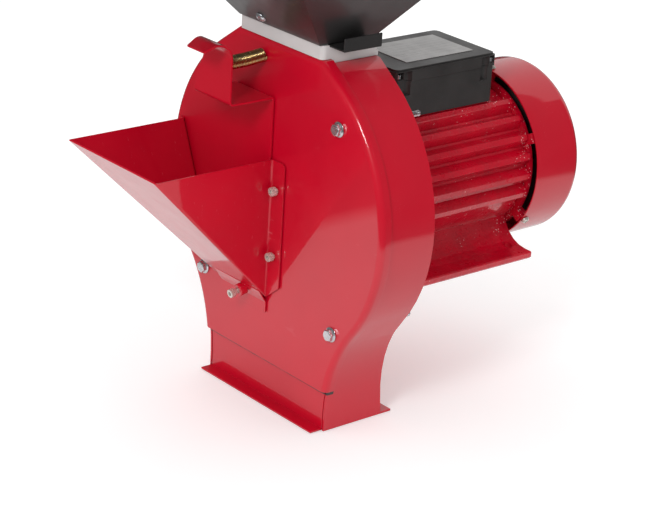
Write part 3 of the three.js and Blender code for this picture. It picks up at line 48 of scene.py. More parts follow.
bl_info = {
    "name": "Hammer mill",
    "version": (1, 0, 0),
    "blender": (4, 5, 0),
    "location": "View3D > Sidebar > Mill",
    "description": "Dresses an electric hammer mill with modelled pieces and painted finishes",
    "category": "Object",
}

# ---- Places ----

# Where the shaft's plane, the cover's face and the outlet's lower edge meet.
ORIGIN = Vector((0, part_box("front_cover")[0].y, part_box("mill_housing")[0].z))
AXIS_Z = 204
UP = Vector((0, 0, 1))
SHEET = 0.0016  # thickness of the cover and the chute
SAME = 1e-5  # corners closer than this count as one


def at(x, y, z):
    """A place in millimetres from the shaft's plane, the cover's face and the outlet's lower edge."""
    return ORIGIN + Vector((x, y, z)) / 1000


def arc(cx, cz, radius, start, end, step=3.0):
    """Points on an arc between two angles in degrees, both ends included."""
    steps = max(1, round(abs(end - start) / step))
    angles = [math.radians(start + (end - start) * i / steps) for i in range(steps + 1)]
    return [(cx + radius * math.cos(a), cz + radius * math.sin(a)) for a in angles]


# ---- Settings ----


COLOUR = {"subtype": "COLOR", "size": 4, "min": 0, "max": 1}


class MILL_PG_finish(bpy.types.PropertyGroup):
    """Colours of the painted and plated finishes."""

    red: FloatVectorProperty(
        name="Powder coat", description="Red of the sheet-metal pieces",
        default=(0.60, 0.0, 0.018, 1), **COLOUR,
    )
    cast_red: FloatVectorProperty(
        name="Casting paint", description="Red of the motor's castings",
        default=(0.60, 0.0, 0.018, 1), **COLOUR,
    )
    black: FloatVectorProperty(
        name="Black enamel", description="Black of the hopper and its slide",
        default=(0.026, 0.0245, 0.0245, 1), **COLOUR,
    )
    plastic: FloatVectorProperty(
        name="Black plastic", description="Colour of the terminal box and gland",
        default=(0.026, 0.024, 0.0235, 1), **COLOUR,
    )
    milky: FloatVectorProperty(
        name="Spacer plastic", description="Colour of the block under the hopper",
        default=(0.62, 0.585, 0.58, 1), **COLOUR,
    )
    zinc: FloatVectorProperty(
        name="Zinc", description="Colour of the bright plated fasteners",
        default=(0.74, 0.76, 0.79, 1), **COLOUR,
    )


class MILL_PG_sheet(bpy.types.PropertyGroup):
    """Sizes of the bent sheet-metal pieces."""

    bend: FloatProperty(
        name="Cover bend", description="Radius between the cover's face and its rim", unit="LENGTH",
        min=0.001, max=0.01, default=0.006,
    )
    rim: FloatProperty(
        name="Cover rim", description="How far the cover's rim reaches back", unit="LENGTH",
        min=0.008, max=0.03, default=0.012,
    )
    fold: FloatProperty(
        name="Fold radius", description="Outside radius of the chute's folds", unit="LENGTH",
        min=0.0005, max=0.005, default=0.0024,
    )
    edge: FloatProperty(
        name="Edge rounding", description="Paint rounding on cut sheet edges", unit="LENGTH",
        min=0.0001, max=0.001, default=0.00035,
    )


class MILL_PG_spring(bpy.types.PropertyGroup):
    """Sizes of the gate spring."""

    wire: FloatProperty(
        name="Wire", description="Diameter of the spring's wire", unit="LENGTH",
        min=0.0005, max=0.003, default=0.0016,
    )
    coil: FloatProperty(
        name="Coil", description="Outside diameter of the coil", unit="LENGTH",
        min=0.006, max=0.02, default=0.0132,
    )
    turns: IntProperty(name="Turns", description="Number of turns", min=5, max=60, default=29)


class MILL_PG_motor(bpy.types.PropertyGroup):
    """Sizes of the motor's cowl and casting."""

    cowl: FloatProperty(
        name="Cowl radius", description="Outside radius of the fan cowl", unit="LENGTH",
        min=0.05, max=0.12, default=0.0866,
    )
    slots: IntProperty(name="Cowl slots", description="Air slots in the cowl", min=6, max=24, default=14)
    cast_edge: FloatProperty(
        name="Casting rounding", description="Rounding of the cast edges", unit="LENGTH",
        min=0.0002, max=0.003, default=0.0009,
    )


class MILL_PG_stage(bpy.types.PropertyGroup):
    """Light and floor."""

    floor: FloatVectorProperty(
        name="Floor", description="Colour of the floor",
        default=(0.93, 0.93, 0.93, 1), **COLOUR,
    )
    ambient: FloatProperty(
        name="Ambient", description="Strength of the room's even light", min=0, max=3, default=0.80,
    )
    rear: FloatProperty(
        name="Rear panel", description="Power of the wide light behind", unit="POWER", min=0, default=5,
    )
    key: FloatProperty(
        name="Key light", description="Power of the front light", unit="POWER", min=0, default=10,
    )


# ---- Hand tools ----


def put_down():
    """Leaves edit mode and selects nothing."""
    if bpy.context.object and bpy.context.object.mode == "EDIT":
        bpy.ops.object.mode_set(mode="OBJECT")
    bpy.ops.object.select_all(action="DESELECT")


def take(obj):
    """Makes one object the only selected and active one."""
    put_down()
    obj.select_set(True)
    bpy.context.view_layer.objects.active = obj
    return obj


def opened(obj):
    """Opens a mesh in edit mode with all of it selected."""
    take(obj)
    bpy.ops.object.mode_set(mode="EDIT")
    bpy.ops.mesh.select_all(action="SELECT")


def closed_up(obj):
    """Goes back to object mode."""
    bpy.ops.object.mode_set(mode="OBJECT")
    return obj


def choose(obj, kind, test):
    """Opens a mesh with only those corners, edges or faces selected that pass a test."""
    take(obj)
    bpy.ops.object.mode_set(mode="EDIT")
    bpy.ops.mesh.select_mode(type=kind)
    bpy.ops.mesh.select_all(action="DESELECT")
    bpy.ops.object.mode_set(mode="OBJECT")
    items = {"VERT": obj.data.vertices, "EDGE": obj.data.edges, "FACE": obj.data.polygons}[kind]
    found = [item for item in items if test(item)]
    for item in found:
        item.select = True
    bpy.ops.object.mode_set(mode="EDIT")
    if not found:
        raise RuntimeError(f"nothing to work on in {obj.name}")


def ends(obj, edge):
    """The two places that an edge joins."""
    return [obj.data.vertices[i].co for i in edge.vertices]


def drawn(name, points, closed=False):
    """Draws a line by extruding one corner from point to point, and fills it when it is closed."""
    put_down()
    bpy.ops.mesh.primitive_plane_add(size=0.001, location=points[0])
    obj = bpy.context.object
    obj.name = name
    bpy.ops.object.transform_apply(location=True, rotation=True, scale=True)
    bpy.ops.object.mode_set(mode="EDIT")
    bpy.ops.mesh.select_mode(type="VERT")
    bpy.ops.mesh.select_all(action="SELECT")
    bpy.ops.mesh.merge(type="CENTER")
    for here, there in zip(points, points[1:]):
        bpy.ops.mesh.extrude_vertices_move(TRANSFORM_OT_translate={"value": there - here})
    if closed:
        bpy.ops.mesh.select_all(action="SELECT")
        bpy.ops.mesh.edge_face_add()
    bpy.ops.object.mode_set(mode="OBJECT")
    return obj


def pull(obj, reach):
    """Extrudes the whole mesh along a direction."""
    opened(obj)
    bpy.ops.mesh.extrude_region_move(TRANSFORM_OT_translate={"value": reach})
    return closed_up(obj)


def tidy(obj, distance=1e-6):
    """Merges doubled corners and turns all faces outwards."""
    opened(obj)
    bpy.ops.mesh.remove_doubles(threshold=distance)
    bpy.ops.mesh.normals_make_consistent(inside=False)
    return closed_up(obj)


def worked(obj, kind, **settings):
    """Adds a modifier with its settings and applies it."""
    take(obj)
    modifier = obj.modifiers.new(kind.lower(), kind)
    for key, value in settings.items():
        setattr(modifier, key, value)
    bpy.ops.object.modifier_apply(modifier=modifier.name)
    return obj


def softened(obj, width, segments=2, angle=35):
    """Rounds the sharp edges a little, as paint or a mould does."""
    return worked(
        obj, "BEVEL", width=width, segments=segments, limit_method="ANGLE",
        angle_limit=math.radians(angle), harden_normals=False, use_clamp_overlap=True,
    )


def thickened(obj, sheet, offset=-1):
    """Gives a surface the thickness of its sheet."""
    return worked(obj, "SOLIDIFY", thickness=sheet, offset=offset, use_even_offset=True)


def cut_out(obj, tool):
    """Cuts one mesh out of another and removes the tool."""
    worked(obj, "BOOLEAN", operation="DIFFERENCE", solver="EXACT", object=tool)
    bpy.data.objects.remove(tool)
    return obj


def bar(name, low, high):
    """A block between two corners, used as a cutting tool."""
    put_down()
    bpy.ops.mesh.primitive_cube_add(size=1, location=(low + high) / 2)
    obj = bpy.context.object
    obj.name = name
    obj.scale = high - low
    bpy.ops.object.transform_apply(location=True, rotation=True, scale=True)
    return obj


def turned(name, profile, steps, centre=Vector(), axis=Vector((0, 1, 0))):
    """Spins a profile of (radius, distance) points round an axis through a centre."""
    side = UP if abs(axis.z) < 0.9 else Vector((1, 0, 0))
    obj = drawn(name, [centre + side * (r / 1000) + axis * (d / 1000) for r, d in profile])
    opened(obj)
    bpy.ops.mesh.spin(steps=steps, angle=2 * math.pi, center=centre, axis=axis)
    return tidy(obj, SAME)


def prism(name, across_flats, start, end, facets=6):
    """A bar with flat sides along Y."""
    put_down()
    bpy.ops.mesh.primitive_cylinder_add(
        vertices=facets, radius=across_flats / 2000 / math.cos(math.pi / facets), depth=(end - start) / 1000,
        location=(0, (start + end) / 2000, 0), rotation=(math.pi / 2, 0, 0),
    )
    obj = bpy.context.object
    obj.name = name
    bpy.ops.object.transform_apply(location=True, rotation=True, scale=True)
    return obj


def joined(name, *parts):
    """Joins meshes into one piece."""
    put_down()
    for part in parts:
        part.select_set(True)
    bpy.context.view_layer.objects.active = parts[0]
    bpy.ops.object.join()
    parts[0].name = name
    return parts[0]


def repeated(pattern, name, turn):
    """A copy of a finished pattern with its own mesh, moved by a matrix."""
    obj = bpy.data.objects.new(name, pattern.data.copy())
    bpy.context.scene.collection.objects.link(obj)
    obj.data.transform(turn)
    return obj


def copied(node, name):
    """A merged copy of a frame node, with flat faces made whole, ready for finer work."""
    obj = bpy.data.objects.new(name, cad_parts[node].data.copy())
    bpy.context.scene.collection.objects.link(obj)
    opened(obj)
    bpy.ops.mesh.remove_doubles(threshold=SAME)
    bpy.ops.mesh.dissolve_limited(angle_limit=math.radians(0.6))
    closed_up(obj).data.materials.clear()
    return obj


def finished(obj, body, slot, *nodes, finish=None, angle=32):
    """Smooths and paints a piece, sets what it rides on, and hides the frame nodes that it stands for."""
    take(obj)
    bpy.ops.object.shade_smooth_by_angle(angle=math.radians(angle))
    worked(obj, "WEIGHTED_NORMAL", keep_sharp=True, weight=100)
    obj.data.materials.clear()
    obj.data.materials.append(FINISHES[finish or slot])
    for face in obj.data.polygons:
        face.material_index = 0
    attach(obj, body)
    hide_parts(*nodes)
    put_down()
    return obj


def refined(node, name, width, steps, sharp, slot, body="mill", **look):
    """Softens a copy of a frame node and finishes it in place of the node."""
    return finished(softened(copied(node, name), width, steps, sharp), body, slot, node, **look)


def dressed(finish, *nodes):
    """Gives frame nodes that are shown as they are another finish."""
    for node in nodes:
        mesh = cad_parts[node].data
        mesh.materials.clear()
        mesh.materials.append(FINISHES[finish])


# ---- Finishes ----

FINISHES = {}


class Recipe:
    """A finish being mixed: its material, its shader and short ways to add what feeds it."""

    def __init__(self, name, **sockets):
        self.name = name
        self.material = bpy.data.materials.new(f"{name}_finish")
        self.material.use_nodes = True
        self.tree = self.material.node_tree
        self.shader = self.tree.nodes["Principled BSDF"]
        for socket, value in sockets.items():
            self.shader.inputs[socket.replace("_", " ")].default_value = value
        self.place = self.add("ShaderNodeTexCoord").outputs["Object"]

    def add(self, kind, inputs=None, **settings):
        node = self.tree.nodes.new(kind)
        for key, value in settings.items():
            setattr(node, key, value)
        for key, value in (inputs or {}).items():
            if isinstance(value, bpy.types.NodeSocket):
                self.tree.links.new(value, node.inputs[key])
            else:
                node.inputs[key].default_value = value
        return node

    def stretched(self, scale, turn=(0, 0, 0)):
        inputs = {"Vector": self.place, "Scale": scale, "Rotation": turn}
        return self.add("ShaderNodeMapping", inputs).outputs["Vector"]

    def noise(self, scale, detail=2.0, rough=0.5, where=None):
        inputs = {"Vector": where or self.place, "Scale": scale, "Detail": detail, "Roughness": rough}
        return self.add("ShaderNodeTexNoise", inputs).outputs["Fac"]

    def cells(self, scale, where=None):
        inputs = {"Vector": where or self.place, "Scale": scale}
        return self.add("ShaderNodeTexVoronoi", inputs).outputs["Distance"]

    def range(self, value, low, high, new_low=0.0, new_high=1.0):
        inputs = {"Value": value, "From Min": low, "From Max": high, "To Min": new_low, "To Max": new_high}
        return self.add("ShaderNodeMapRange", inputs).outputs["Result"]

    def sum(self, a, b, kind="ADD"):
        return self.add("ShaderNodeMath", {0: a, 1: b}, operation=kind).outputs[0]

    def times(self, a, b):
        return self.sum(a, b, "MULTIPLY")

    def mixed(self, share, a, b):
        node = self.add("ShaderNodeMix", data_type="RGBA")
        for index, value in ((0, share), (6, a), (7, b)):
            if isinstance(value, bpy.types.NodeSocket):
                self.tree.links.new(value, node.inputs[index])
            else:
                node.inputs[index].default_value = value
        return node.outputs[2]

    def bump(self, height, strength, distance, under=None):
        inputs = {"Height": height, "Strength": strength, "Distance": distance}
        if under is not None:
            inputs["Normal"] = under
        return self.add("ShaderNodeBump", inputs).outputs["Normal"]

    def feed(self, socket, value):
        self.tree.links.new(value, self.shader.inputs[socket])

    def done(self):
        FINISHES[self.name] = self.material
        return self.material


def shade(colour, factor):
    """The same colour, lighter or darker."""
    return (*[min(1.0, c * factor) for c in colour[:3]], 1)


def powder_coat(name, red, wear=0.0, painted_shade_band=False):
    """Glossy powder coat: orange peel, waves, dust, scratches, and a painted shade band behind the cover's
    lower edge.
    """
    coat = Recipe(name, Coat_Weight=1.0, Coat_Roughness=0.035, Specular_IOR_Level=0.25)
    slow = coat.range(coat.noise(7, 3), 0.35, 0.7)
    base = coat.mixed(slow, shade(red, 1.0), shade(red, 0.86))
    specks = coat.range(coat.cells(420), 0.10, 0.04)
    thin = coat.range(coat.noise(38, 2), 0.56, 0.66)
    dust = coat.times(coat.times(specks, thin), 0.30 + wear)
    base = coat.mixed(dust, base, (0.78, 0.30, 0.33, 1))
    lines = coat.noise(30, 4, 0.7, coat.stretched((1.0, 14.0, 3.0), (0.3, 0.5, 0.9)))
    scratch = coat.times(coat.range(lines, 0.66, 0.72), wear)
    base = coat.mixed(scratch, base, (0.72, 0.16, 0.19, 1))
    if painted_shade_band:
        # painted shade: a near-black band above 37.1 mm and ahead of 13 mm, where the cover's lower edge
        # shades the housing and panel
        split = coat.add("ShaderNodeSeparateXYZ", {0: coat.place}).outputs
        ragged = coat.range(coat.noise(90, 2), 0.3, 0.7, -0.0003, 0.0003)
        edge, fade = at(0, 13, 37.1), 0.0002
        above = coat.range(coat.sum(split[2], ragged), edge.z - fade, edge.z + fade)
        ahead = coat.range(coat.sum(split[1], ragged), edge.y + fade, edge.y - fade)
        base = coat.mixed(coat.times(above, ahead), base, (0.012, 0.004, 0.004, 1))
    coat.feed("Base Color", base)
    film = coat.range(coat.noise(26, 4, 0.6), 0.3, 0.75, 0.30, 0.42)
    coat.feed("Roughness", coat.sum(film, coat.times(dust, 0.3)))
    waves = coat.bump(coat.noise(11, 1), 0.22, 0.0005)
    peel = coat.bump(coat.noise(620, 1), 0.07, 0.00010, waves)
    coat.feed("Coat Normal", coat.bump(coat.noise(420, 1), 0.04, 0.00010, waves))
    coat.feed("Normal", peel)
    return coat.done()


def casting_paint(name, red):
    """Thick paint over a sand casting: pits and grains, painted shade in the pits, and pale specks painted
    as glints that crowd towards the rear of the fins.
    """
    paint = Recipe(name, Coat_Weight=0.8, Coat_Roughness=0.07, Specular_IOR_Level=0.4)
    patches = paint.range(paint.noise(45, 3), 0.35, 0.7)
    base = paint.mixed(patches, red, shade(red, 0.80))
    pits = paint.range(paint.cells(260), 0.05, 0.45)
    # painted shade: the pits' hollows, the low points of the sand bump, are painted darker
    base = paint.mixed(paint.range(pits, 0.3, 0.0, 0.0, 0.5), base, shade(red, 0.55))
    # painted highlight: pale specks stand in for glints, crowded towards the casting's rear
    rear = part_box("motor_frame")[1].y
    y = paint.add("ShaderNodeSeparateXYZ", {0: paint.place}).outputs[1]
    crowd = paint.sum(paint.noise(60, 2), paint.range(y, rear - 0.022, rear - 0.004, 0.0, 0.13))
    painted_glints = paint.times(paint.range(paint.cells(380), 0.22, 0.12), paint.range(crowd, 0.60, 0.66))
    base = paint.mixed(paint.times(painted_glints, 0.85), base, (0.92, 0.74, 0.74, 1))
    paint.feed("Base Color", base)
    paint.feed("Roughness", paint.range(paint.noise(90, 3), 0.3, 0.7, 0.26, 0.42))
    grain = paint.bump(paint.noise(260, 3, 0.6), 0.55, 0.0010)
    sand = paint.bump(pits, 0.45, 0.0005, grain)
    fine = paint.bump(paint.noise(900, 2), 0.25, 0.00015, sand)
    paint.feed("Normal", fine)
    return paint.done()


def enamel(name, black):
    """Satin black enamel on thin sheet, with fingerprints and a little dust."""
    coat = Recipe(name, Coat_Weight=0.12, Coat_Roughness=0.08, Specular_IOR_Level=0.45)
    slow = coat.range(coat.noise(9, 3), 0.3, 0.7)
    base = coat.mixed(slow, black, shade(black, 1.25))
    specks = coat.range(coat.cells(520), 0.09, 0.03)
    dust = coat.times(specks, coat.range(coat.noise(20, 3), 0.45, 0.7))
    coat.feed("Base Color", coat.mixed(coat.times(dust, 0.5), base, (0.30, 0.29, 0.28, 1)))
    coat.feed("Roughness", coat.range(coat.noise(16, 5, 0.6), 0.3, 0.72, 0.30, 0.44))
    waves = coat.bump(coat.noise(14, 1), 0.35, 0.0006)
    coat.feed("Normal", coat.bump(coat.noise(700, 1), 0.15, 0.0001, waves))
    return coat.done()


def moulded(name, colour, light):
    """Moulded plastic with an eroded grain, specks of dust, and its upward faces painted lighter, as painted
    top light.
    """
    plastic = Recipe(name, Specular_IOR_Level=0.5)
    slow = plastic.range(plastic.noise(22, 3), 0.3, 0.7)
    base = plastic.mixed(slow, colour, light)
    # painted light: faces that point up are mixed towards a lighter grey, standing in for light from above
    normal = plastic.add("ShaderNodeNewGeometry").outputs["Normal"]
    up = plastic.add("ShaderNodeSeparateXYZ", {0: normal}).outputs[2]
    patches = plastic.range(plastic.noise(40, 4), 0.2, 0.7, 0.5, 0.9)
    film = plastic.times(plastic.range(up, 0.75, 0.97), patches)
    base = plastic.mixed(film, base, shade(light, 1.7))
    dust = plastic.range(plastic.noise(300, 3, 0.7), 0.66, 0.74, 0, 0.35)
    plastic.feed("Base Color", plastic.mixed(dust, base, shade(light, 1.8)))
    plastic.feed("Roughness", plastic.range(plastic.noise(34, 4), 0.3, 0.7, 0.34, 0.5))
    eroded = plastic.bump(plastic.noise(1100, 2), 0.35, 0.00018)
    plastic.feed("Normal", plastic.bump(plastic.noise(60, 2), 0.2, 0.0003, eroded))
    return plastic.done()


def milky_plastic(name, colour):
    """Cut block of milky plastic that lets some light through, with saw marks on its edges."""
    plastic = Recipe(name, Specular_IOR_Level=0.5, Subsurface_Weight=0.25, Subsurface_Scale=0.006)
    plastic.shader.inputs["Subsurface Radius"].default_value = (1.0, 0.85, 0.8)
    slow = plastic.range(plastic.noise(40, 4), 0.3, 0.7)
    plastic.feed("Base Color", plastic.mixed(slow, colour, shade(colour, 0.93)))
    plastic.feed("Roughness", plastic.range(plastic.noise(70, 3), 0.3, 0.7, 0.30, 0.48))
    marks = plastic.noise(60, 2, 0.5, plastic.stretched((1.0, 1.0, 14.0)))
    plastic.feed("Normal", plastic.bump(marks, 0.25, 0.0002))
    return plastic.done()


def plated(name, colour, tint, gloss=(0.16, 0.34), grain=0.3, spots=70, metallic=1.0):
    """Plated or uncoated steel: cloudy tint, brushed roughness and fine pits."""
    metal = Recipe(name, Metallic=metallic)
    cloud = metal.range(metal.noise(spots, 3, 0.6), 0.32, 0.68)
    grime = metal.range(metal.noise(spots * 2.3, 5, 0.65), 0.60, 0.76, 0.0, 0.55)
    base = metal.mixed(cloud, colour, tint)
    metal.feed("Base Color", metal.mixed(grime, base, shade(tint, 0.35)))
    metal.feed("Roughness", metal.range(metal.noise(spots * 4, 4), 0.3, 0.7, *gloss))
    metal.feed("Normal", metal.bump(metal.noise(900, 3), grain, 0.00012))
    return metal.done()


def winding(name):
    """Varnished copper wire laid side by side, with painted shade in the grooves between the turns."""
    wire = Recipe(name, Metallic=1.0, Coat_Weight=0.5, Coat_Roughness=0.15)
    inputs = {"Vector": wire.place, "Scale": 260.0, "Distortion": 3.0, "Detail": 2.0}
    height = wire.add("ShaderNodeTexWave", inputs).outputs["Fac"]
    # painted shade: the low grooves of the wave height are painted dark copper
    wire.feed("Base Color", wire.mixed(height, (0.16, 0.045, 0.018, 1), (0.62, 0.26, 0.12, 1)))
    wire.feed("Roughness", wire.range(wire.noise(120, 3), 0.3, 0.7, 0.28, 0.5))
    wire.feed("Normal", wire.bump(height, 0.8, 0.0006))
    return wire.done()


def brushed_label(name):
    """Brushed silver foil with empty ruled rows."""
    low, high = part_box("blank_label")
    foil = Recipe(name, Metallic=0.30)
    hair = foil.noise(420, 3, 0.6, foil.stretched((1.0, 0.02, 1.0)))
    smear = foil.range(foil.noise(55, 4, 0.6), 0.35, 0.68)
    base = foil.mixed(smear, (0.50, 0.485, 0.475, 1), (0.37, 0.358, 0.352, 1))
    base = foil.mixed(foil.range(hair, 0.35, 0.7, 0.0, 0.3), base, (0.66, 0.645, 0.64, 1))
    split = foil.add("ShaderNodeSeparateXYZ", {0: foil.place}).outputs
    across = foil.range(split[0], low.x, high.x)
    along = foil.range(split[1], low.y, high.y)
    rows = foil.sum(foil.times(foil.range(across, 0.12, 0.88), 7.0), 1.0, "MODULO")

    def near_middle(value, from_middle, fade):
        """One where a value lies close to a half, and zero beyond."""
        away = foil.sum(foil.sum(value, 0.5, "SUBTRACT"), 0.0, "ABSOLUTE")
        return foil.range(away, from_middle, from_middle - fade)

    ruled = foil.times(near_middle(rows, 0.035, 0.015), near_middle(across, 0.385, 0.005))
    ruled = foil.times(ruled, near_middle(along, 0.43, 0.005))
    base = foil.mixed(foil.times(ruled, 0.55), base, (0.14, 0.13, 0.13, 1))
    foil.feed("Base Color", base)
    foil.feed("Roughness", foil.range(hair, 0.3, 0.7, 0.26, 0.44))
    foil.feed("Normal", foil.bump(hair, 0.25, 0.0001))
    return foil.done()


class MILL_OT_finishes(bpy.types.Operator):
    """Mixes all painted, plated and moulded finishes"""

    bl_idname = "mill.finishes"
    bl_label = "Finishes"

    def execute(self, context):
        colours = context.scene.mill_finish
        names = ("red", "cast_red", "black", "plastic", "milky", "zinc")
        red, cast_red, black, plastic, milky, zinc = (tuple(getattr(colours, name)) for name in names)
        powder_coat("red_sheet", red, 0.10)
        powder_coat("worn_red_sheet", red, 0.45)
        # the housing and the outlet panel carry the painted shade band under the cover's lower edge
        powder_coat("housing_sheet", red, 0.10, painted_shade_band=True)
        casting_paint("red_casting", cast_red)
        enamel("black_sheet", black)
        moulded("black_plastic", plastic, shade(plastic, 1.8))
        milky_plastic("white_plastic", milky)
        plated("bright_zinc", zinc, shade(zinc, 0.78), metallic=0.85)
        plated("cap_steel", (0.80, 0.78, 0.73, 1), (0.66, 0.62, 0.55, 1), (0.2, 0.36), 0.3, 160, 0.6)
        plated("yellow_zinc", (0.66, 0.50, 0.20, 1), (0.50, 0.40, 0.22, 1), (0.14, 0.3), 0.2, 210)
        plated("tool_steel", (0.46, 0.46, 0.47, 1), (0.30, 0.295, 0.29, 1), (0.28, 0.5), 0.5, 40)
        winding("copper_winding")
        brushed_label("silver_label")
        return {"FINISHED"}


# ---- Cover and housing ----

CASING_R = 155.3
HOUSING_DEPTH = 64
OUTLET_HALF = 89.5
FLARE_R = 150
TOP_HALF = 62.5
COVER_TOP = 350
COVER_LOW = 41
INTAKE = ((-53.0, 112), (-5.0, 168))  # lower left and upper right corner


def cover_outline():
    """The cover's outline from its lower right corner round to its lower left one, as (x, z)."""
    flare_x = OUTLET_HALF + FLARE_R
    reach = CASING_R + FLARE_R
    flare_z = AXIS_Z - math.sqrt(reach**2 - flare_x**2)
    meets = math.degrees(math.acos(flare_x / reach))
    starts = math.degrees(math.asin((COVER_LOW - flare_z) / FLARE_R))
    slant = math.degrees(
        math.atan2(TOP_HALF, COVER_TOP - AXIS_Z)
        + math.acos(CASING_R / math.hypot(TOP_HALF, COVER_TOP - AXIS_Z))
    )
    right = arc(flare_x, flare_z, FLARE_R, 180 - starts, 180 - meets, 2)
    right += arc(0, AXIS_Z, CASING_R, -meets, 90 - slant, 2.5)[1:]
    right.append((TOP_HALF, COVER_TOP))
    return right + [(-x, z) for x, z in reversed(right)]


class MILL_OT_cover(bpy.types.Operator):
    """Bends the front cover from its outline"""

    bl_idname = "mill.cover"
    bl_label = "Front cover"

    def execute(self, context):
        sheet = context.scene.mill_sheet
        rim = sheet.rim * 1000
        points = [at(x, rim, z) for x, z in cover_outline()]
        obj = pull(drawn("front_cover_sheet", points, closed=True), Vector((0, -sheet.rim, 0)))
        tidy(obj)
        front = points[0].y - sheet.rim
        low = at(0, 0, COVER_LOW).z + 1e-4
        choose(obj, "FACE", lambda f: f.normal.y > 0.9 or f.normal.z < -0.95 and f.center.z < low)
        bpy.ops.mesh.delete(type="FACE")

        def folded(edge):
            a, b = ends(obj, edge)
            return abs(a.y - front) < SAME and abs(b.y - front) < SAME and max(a.z, b.z) > low

        choose(obj, "EDGE", folded)
        bpy.ops.mesh.bevel(offset=sheet.bend, segments=6, affect="EDGES", clamp_overlap=False)
        thickened(obj, SHEET)
        (left, lower), (right, upper) = INTAKE
        cut_out(obj, bar("intake_tool", at(left, -5, lower), at(right, 8, upper)))
        softened(obj, 0.0004, 2, 50)
        finished(obj, "mill", "red_sheet", "front_cover")
        return {"FINISHED"}


class MILL_OT_housing(bpy.types.Operator):
    """Finishes the housing behind the cover and the outlet's front panel"""

    bl_idname = "mill.housing"
    bl_label = "Housing"

    def execute(self, context):
        look = {"slot": "red_sheet", "finish": "housing_sheet"}
        edge = context.scene.mill_sheet.edge
        refined("mill_housing", "mill_housing_sheet", edge, 2, 40, **look)
        refined("outlet_front_panel", "outlet_panel_sheet", 0.0006, 2, 40, **look)
        return {"FINISHED"}


# ---- Feed chute, gate, spring and lock ----

CHUTE_TOP = 241
CHUTE_LOW = 103
CHUTE_REACH = 132.8
CHUTE_RIGHT = 2
CHUTE_REAR = -4.0
CHUTE_LEFT_TOP = 136
CHUTE_LEFT_LOW = 76.6
CHUTE_RISE = (CHUTE_TOP - CHUTE_LOW) / CHUTE_REACH  # of its sloping floor
WING = 18  # width of the flanges that the cap screws hold
WING_CORNER = 3
WING_LOW = CHUTE_LOW + 17
LEFT_WING_TOP = 9  # the left flange narrows towards its top
SCREW_INSET = 8.4
SCREW_HEIGHTS = (213.5, 149.2)


def chute_left(z):
    """How far left the chute's leaning wall stands at a height."""
    share = (z - CHUTE_LOW) / (CHUTE_TOP - CHUTE_LOW)
    return -(CHUTE_LEFT_LOW + share * (CHUTE_LEFT_TOP - CHUTE_LEFT_LOW))


class MILL_OT_chute(bpy.types.Operator):
    """Folds the feed chute from its three walls, two flanges and the tab below"""

    bl_idname = "mill.chute"
    bl_label = "Feed chute"

    def execute(self, context):
        sheet = context.scene.mill_sheet
        rear = CHUTE_REAR + SHEET * 1000
        foot = CHUTE_LOW - rear * CHUTE_RISE
        front_left = at(-CHUTE_LEFT_TOP, -CHUTE_REACH, CHUTE_TOP)
        front_right = at(CHUTE_RIGHT, -CHUTE_REACH, CHUTE_TOP)
        rear_left = at(chute_left(CHUTE_TOP), rear, CHUTE_TOP)
        rear_right = at(CHUTE_RIGHT, rear, CHUTE_TOP)
        foot_left = at(chute_left(CHUTE_LOW - CHUTE_REAR * CHUTE_RISE), rear, foot)
        foot_right = at(CHUTE_RIGHT, rear, foot)
        corner = CHUTE_TOP - WING_CORNER
        outlines = {
            "slope": [front_left, front_right, foot_right, foot_left],
            "right": [front_right, rear_right, foot_right],
            "left": [rear_left, front_left, foot_left],
            "wing": [
                rear_right, at(CHUTE_RIGHT + WING - WING_CORNER, rear, CHUTE_TOP),
                at(CHUTE_RIGHT + WING, rear, corner), at(CHUTE_RIGHT + WING, rear, WING_LOW), foot_right,
            ],
            "left_wing": [
                at(chute_left(CHUTE_TOP) - LEFT_WING_TOP + WING_CORNER, rear, CHUTE_TOP), rear_left,
                foot_left, at(chute_left(WING_LOW) - WING, rear, WING_LOW),
                at(chute_left(corner) - LEFT_WING_TOP, rear, corner),
            ],
        }
        walls = [drawn(name, outline, closed=True) for name, outline in outlines.items()]
        chute = tidy(joined("feed_chute_sheet", *walls), SAME)
        if max(chute.data.polygons, key=lambda f: abs(f.normal.z)).normal.z > 0:
            opened(chute)
            bpy.ops.mesh.flip_normals()
        folds = [(c, foot_left) for c in (front_left, rear_left)]
        folds += [(c, foot_right) for c in (front_right, rear_right)]

        def is_fold(edge):
            pair = ends(chute, edge)
            return any(all(any((p - c).length < SAME for p in pair) for c in fold) for fold in folds)

        choose(chute, "EDGE", is_fold)
        bpy.ops.mesh.bevel(offset=sheet.fold, segments=4, affect="EDGES", clamp_overlap=True)
        thickened(chute, SHEET)
        parts = [softened(chute, sheet.edge, 2, 50), chute_tab(sheet.edge)]
        piece = joined("feed_chute_sheet", *[cut_out(part, lock_drill()) for part in parts])
        finished(piece, "mill", "red_sheet", "feed_chute", finish="worn_red_sheet")
        return {"FINISHED"}


LOCK_PLACE = Matrix.Translation(at(-24.5, -10.5, 106)) @ Matrix.Rotation(math.radians(10), 4, "X")


def lock_drill():
    """The room that the locking screw needs through the sheet."""
    drill = turned("lock_drill", [(0, -9), (2.9, -9), (2.9, 8.2), (0, 8.2)], 24)
    drill.data.transform(LOCK_PLACE)
    return drill


def chute_tab(edge):
    """The bent strip below the chute that lies on the cover."""
    left, width, middle = -66.4, 0.0683, 0.8
    bend = [(-0.4 - 3 * i / 4, 100 + 4.2 * i / 4) for i in range(5)]
    run = [(-0.4, 89.5), *bend, (-9, CHUTE_LOW + 9 * CHUTE_RISE + middle)]
    tab = pull(drawn("tab", [at(left, y - middle, z) for y, z in run]), Vector((width, 0, 0)))
    thickened(tidy(tab), 0.0014, 0)
    return softened(tab, edge, 2, 50)


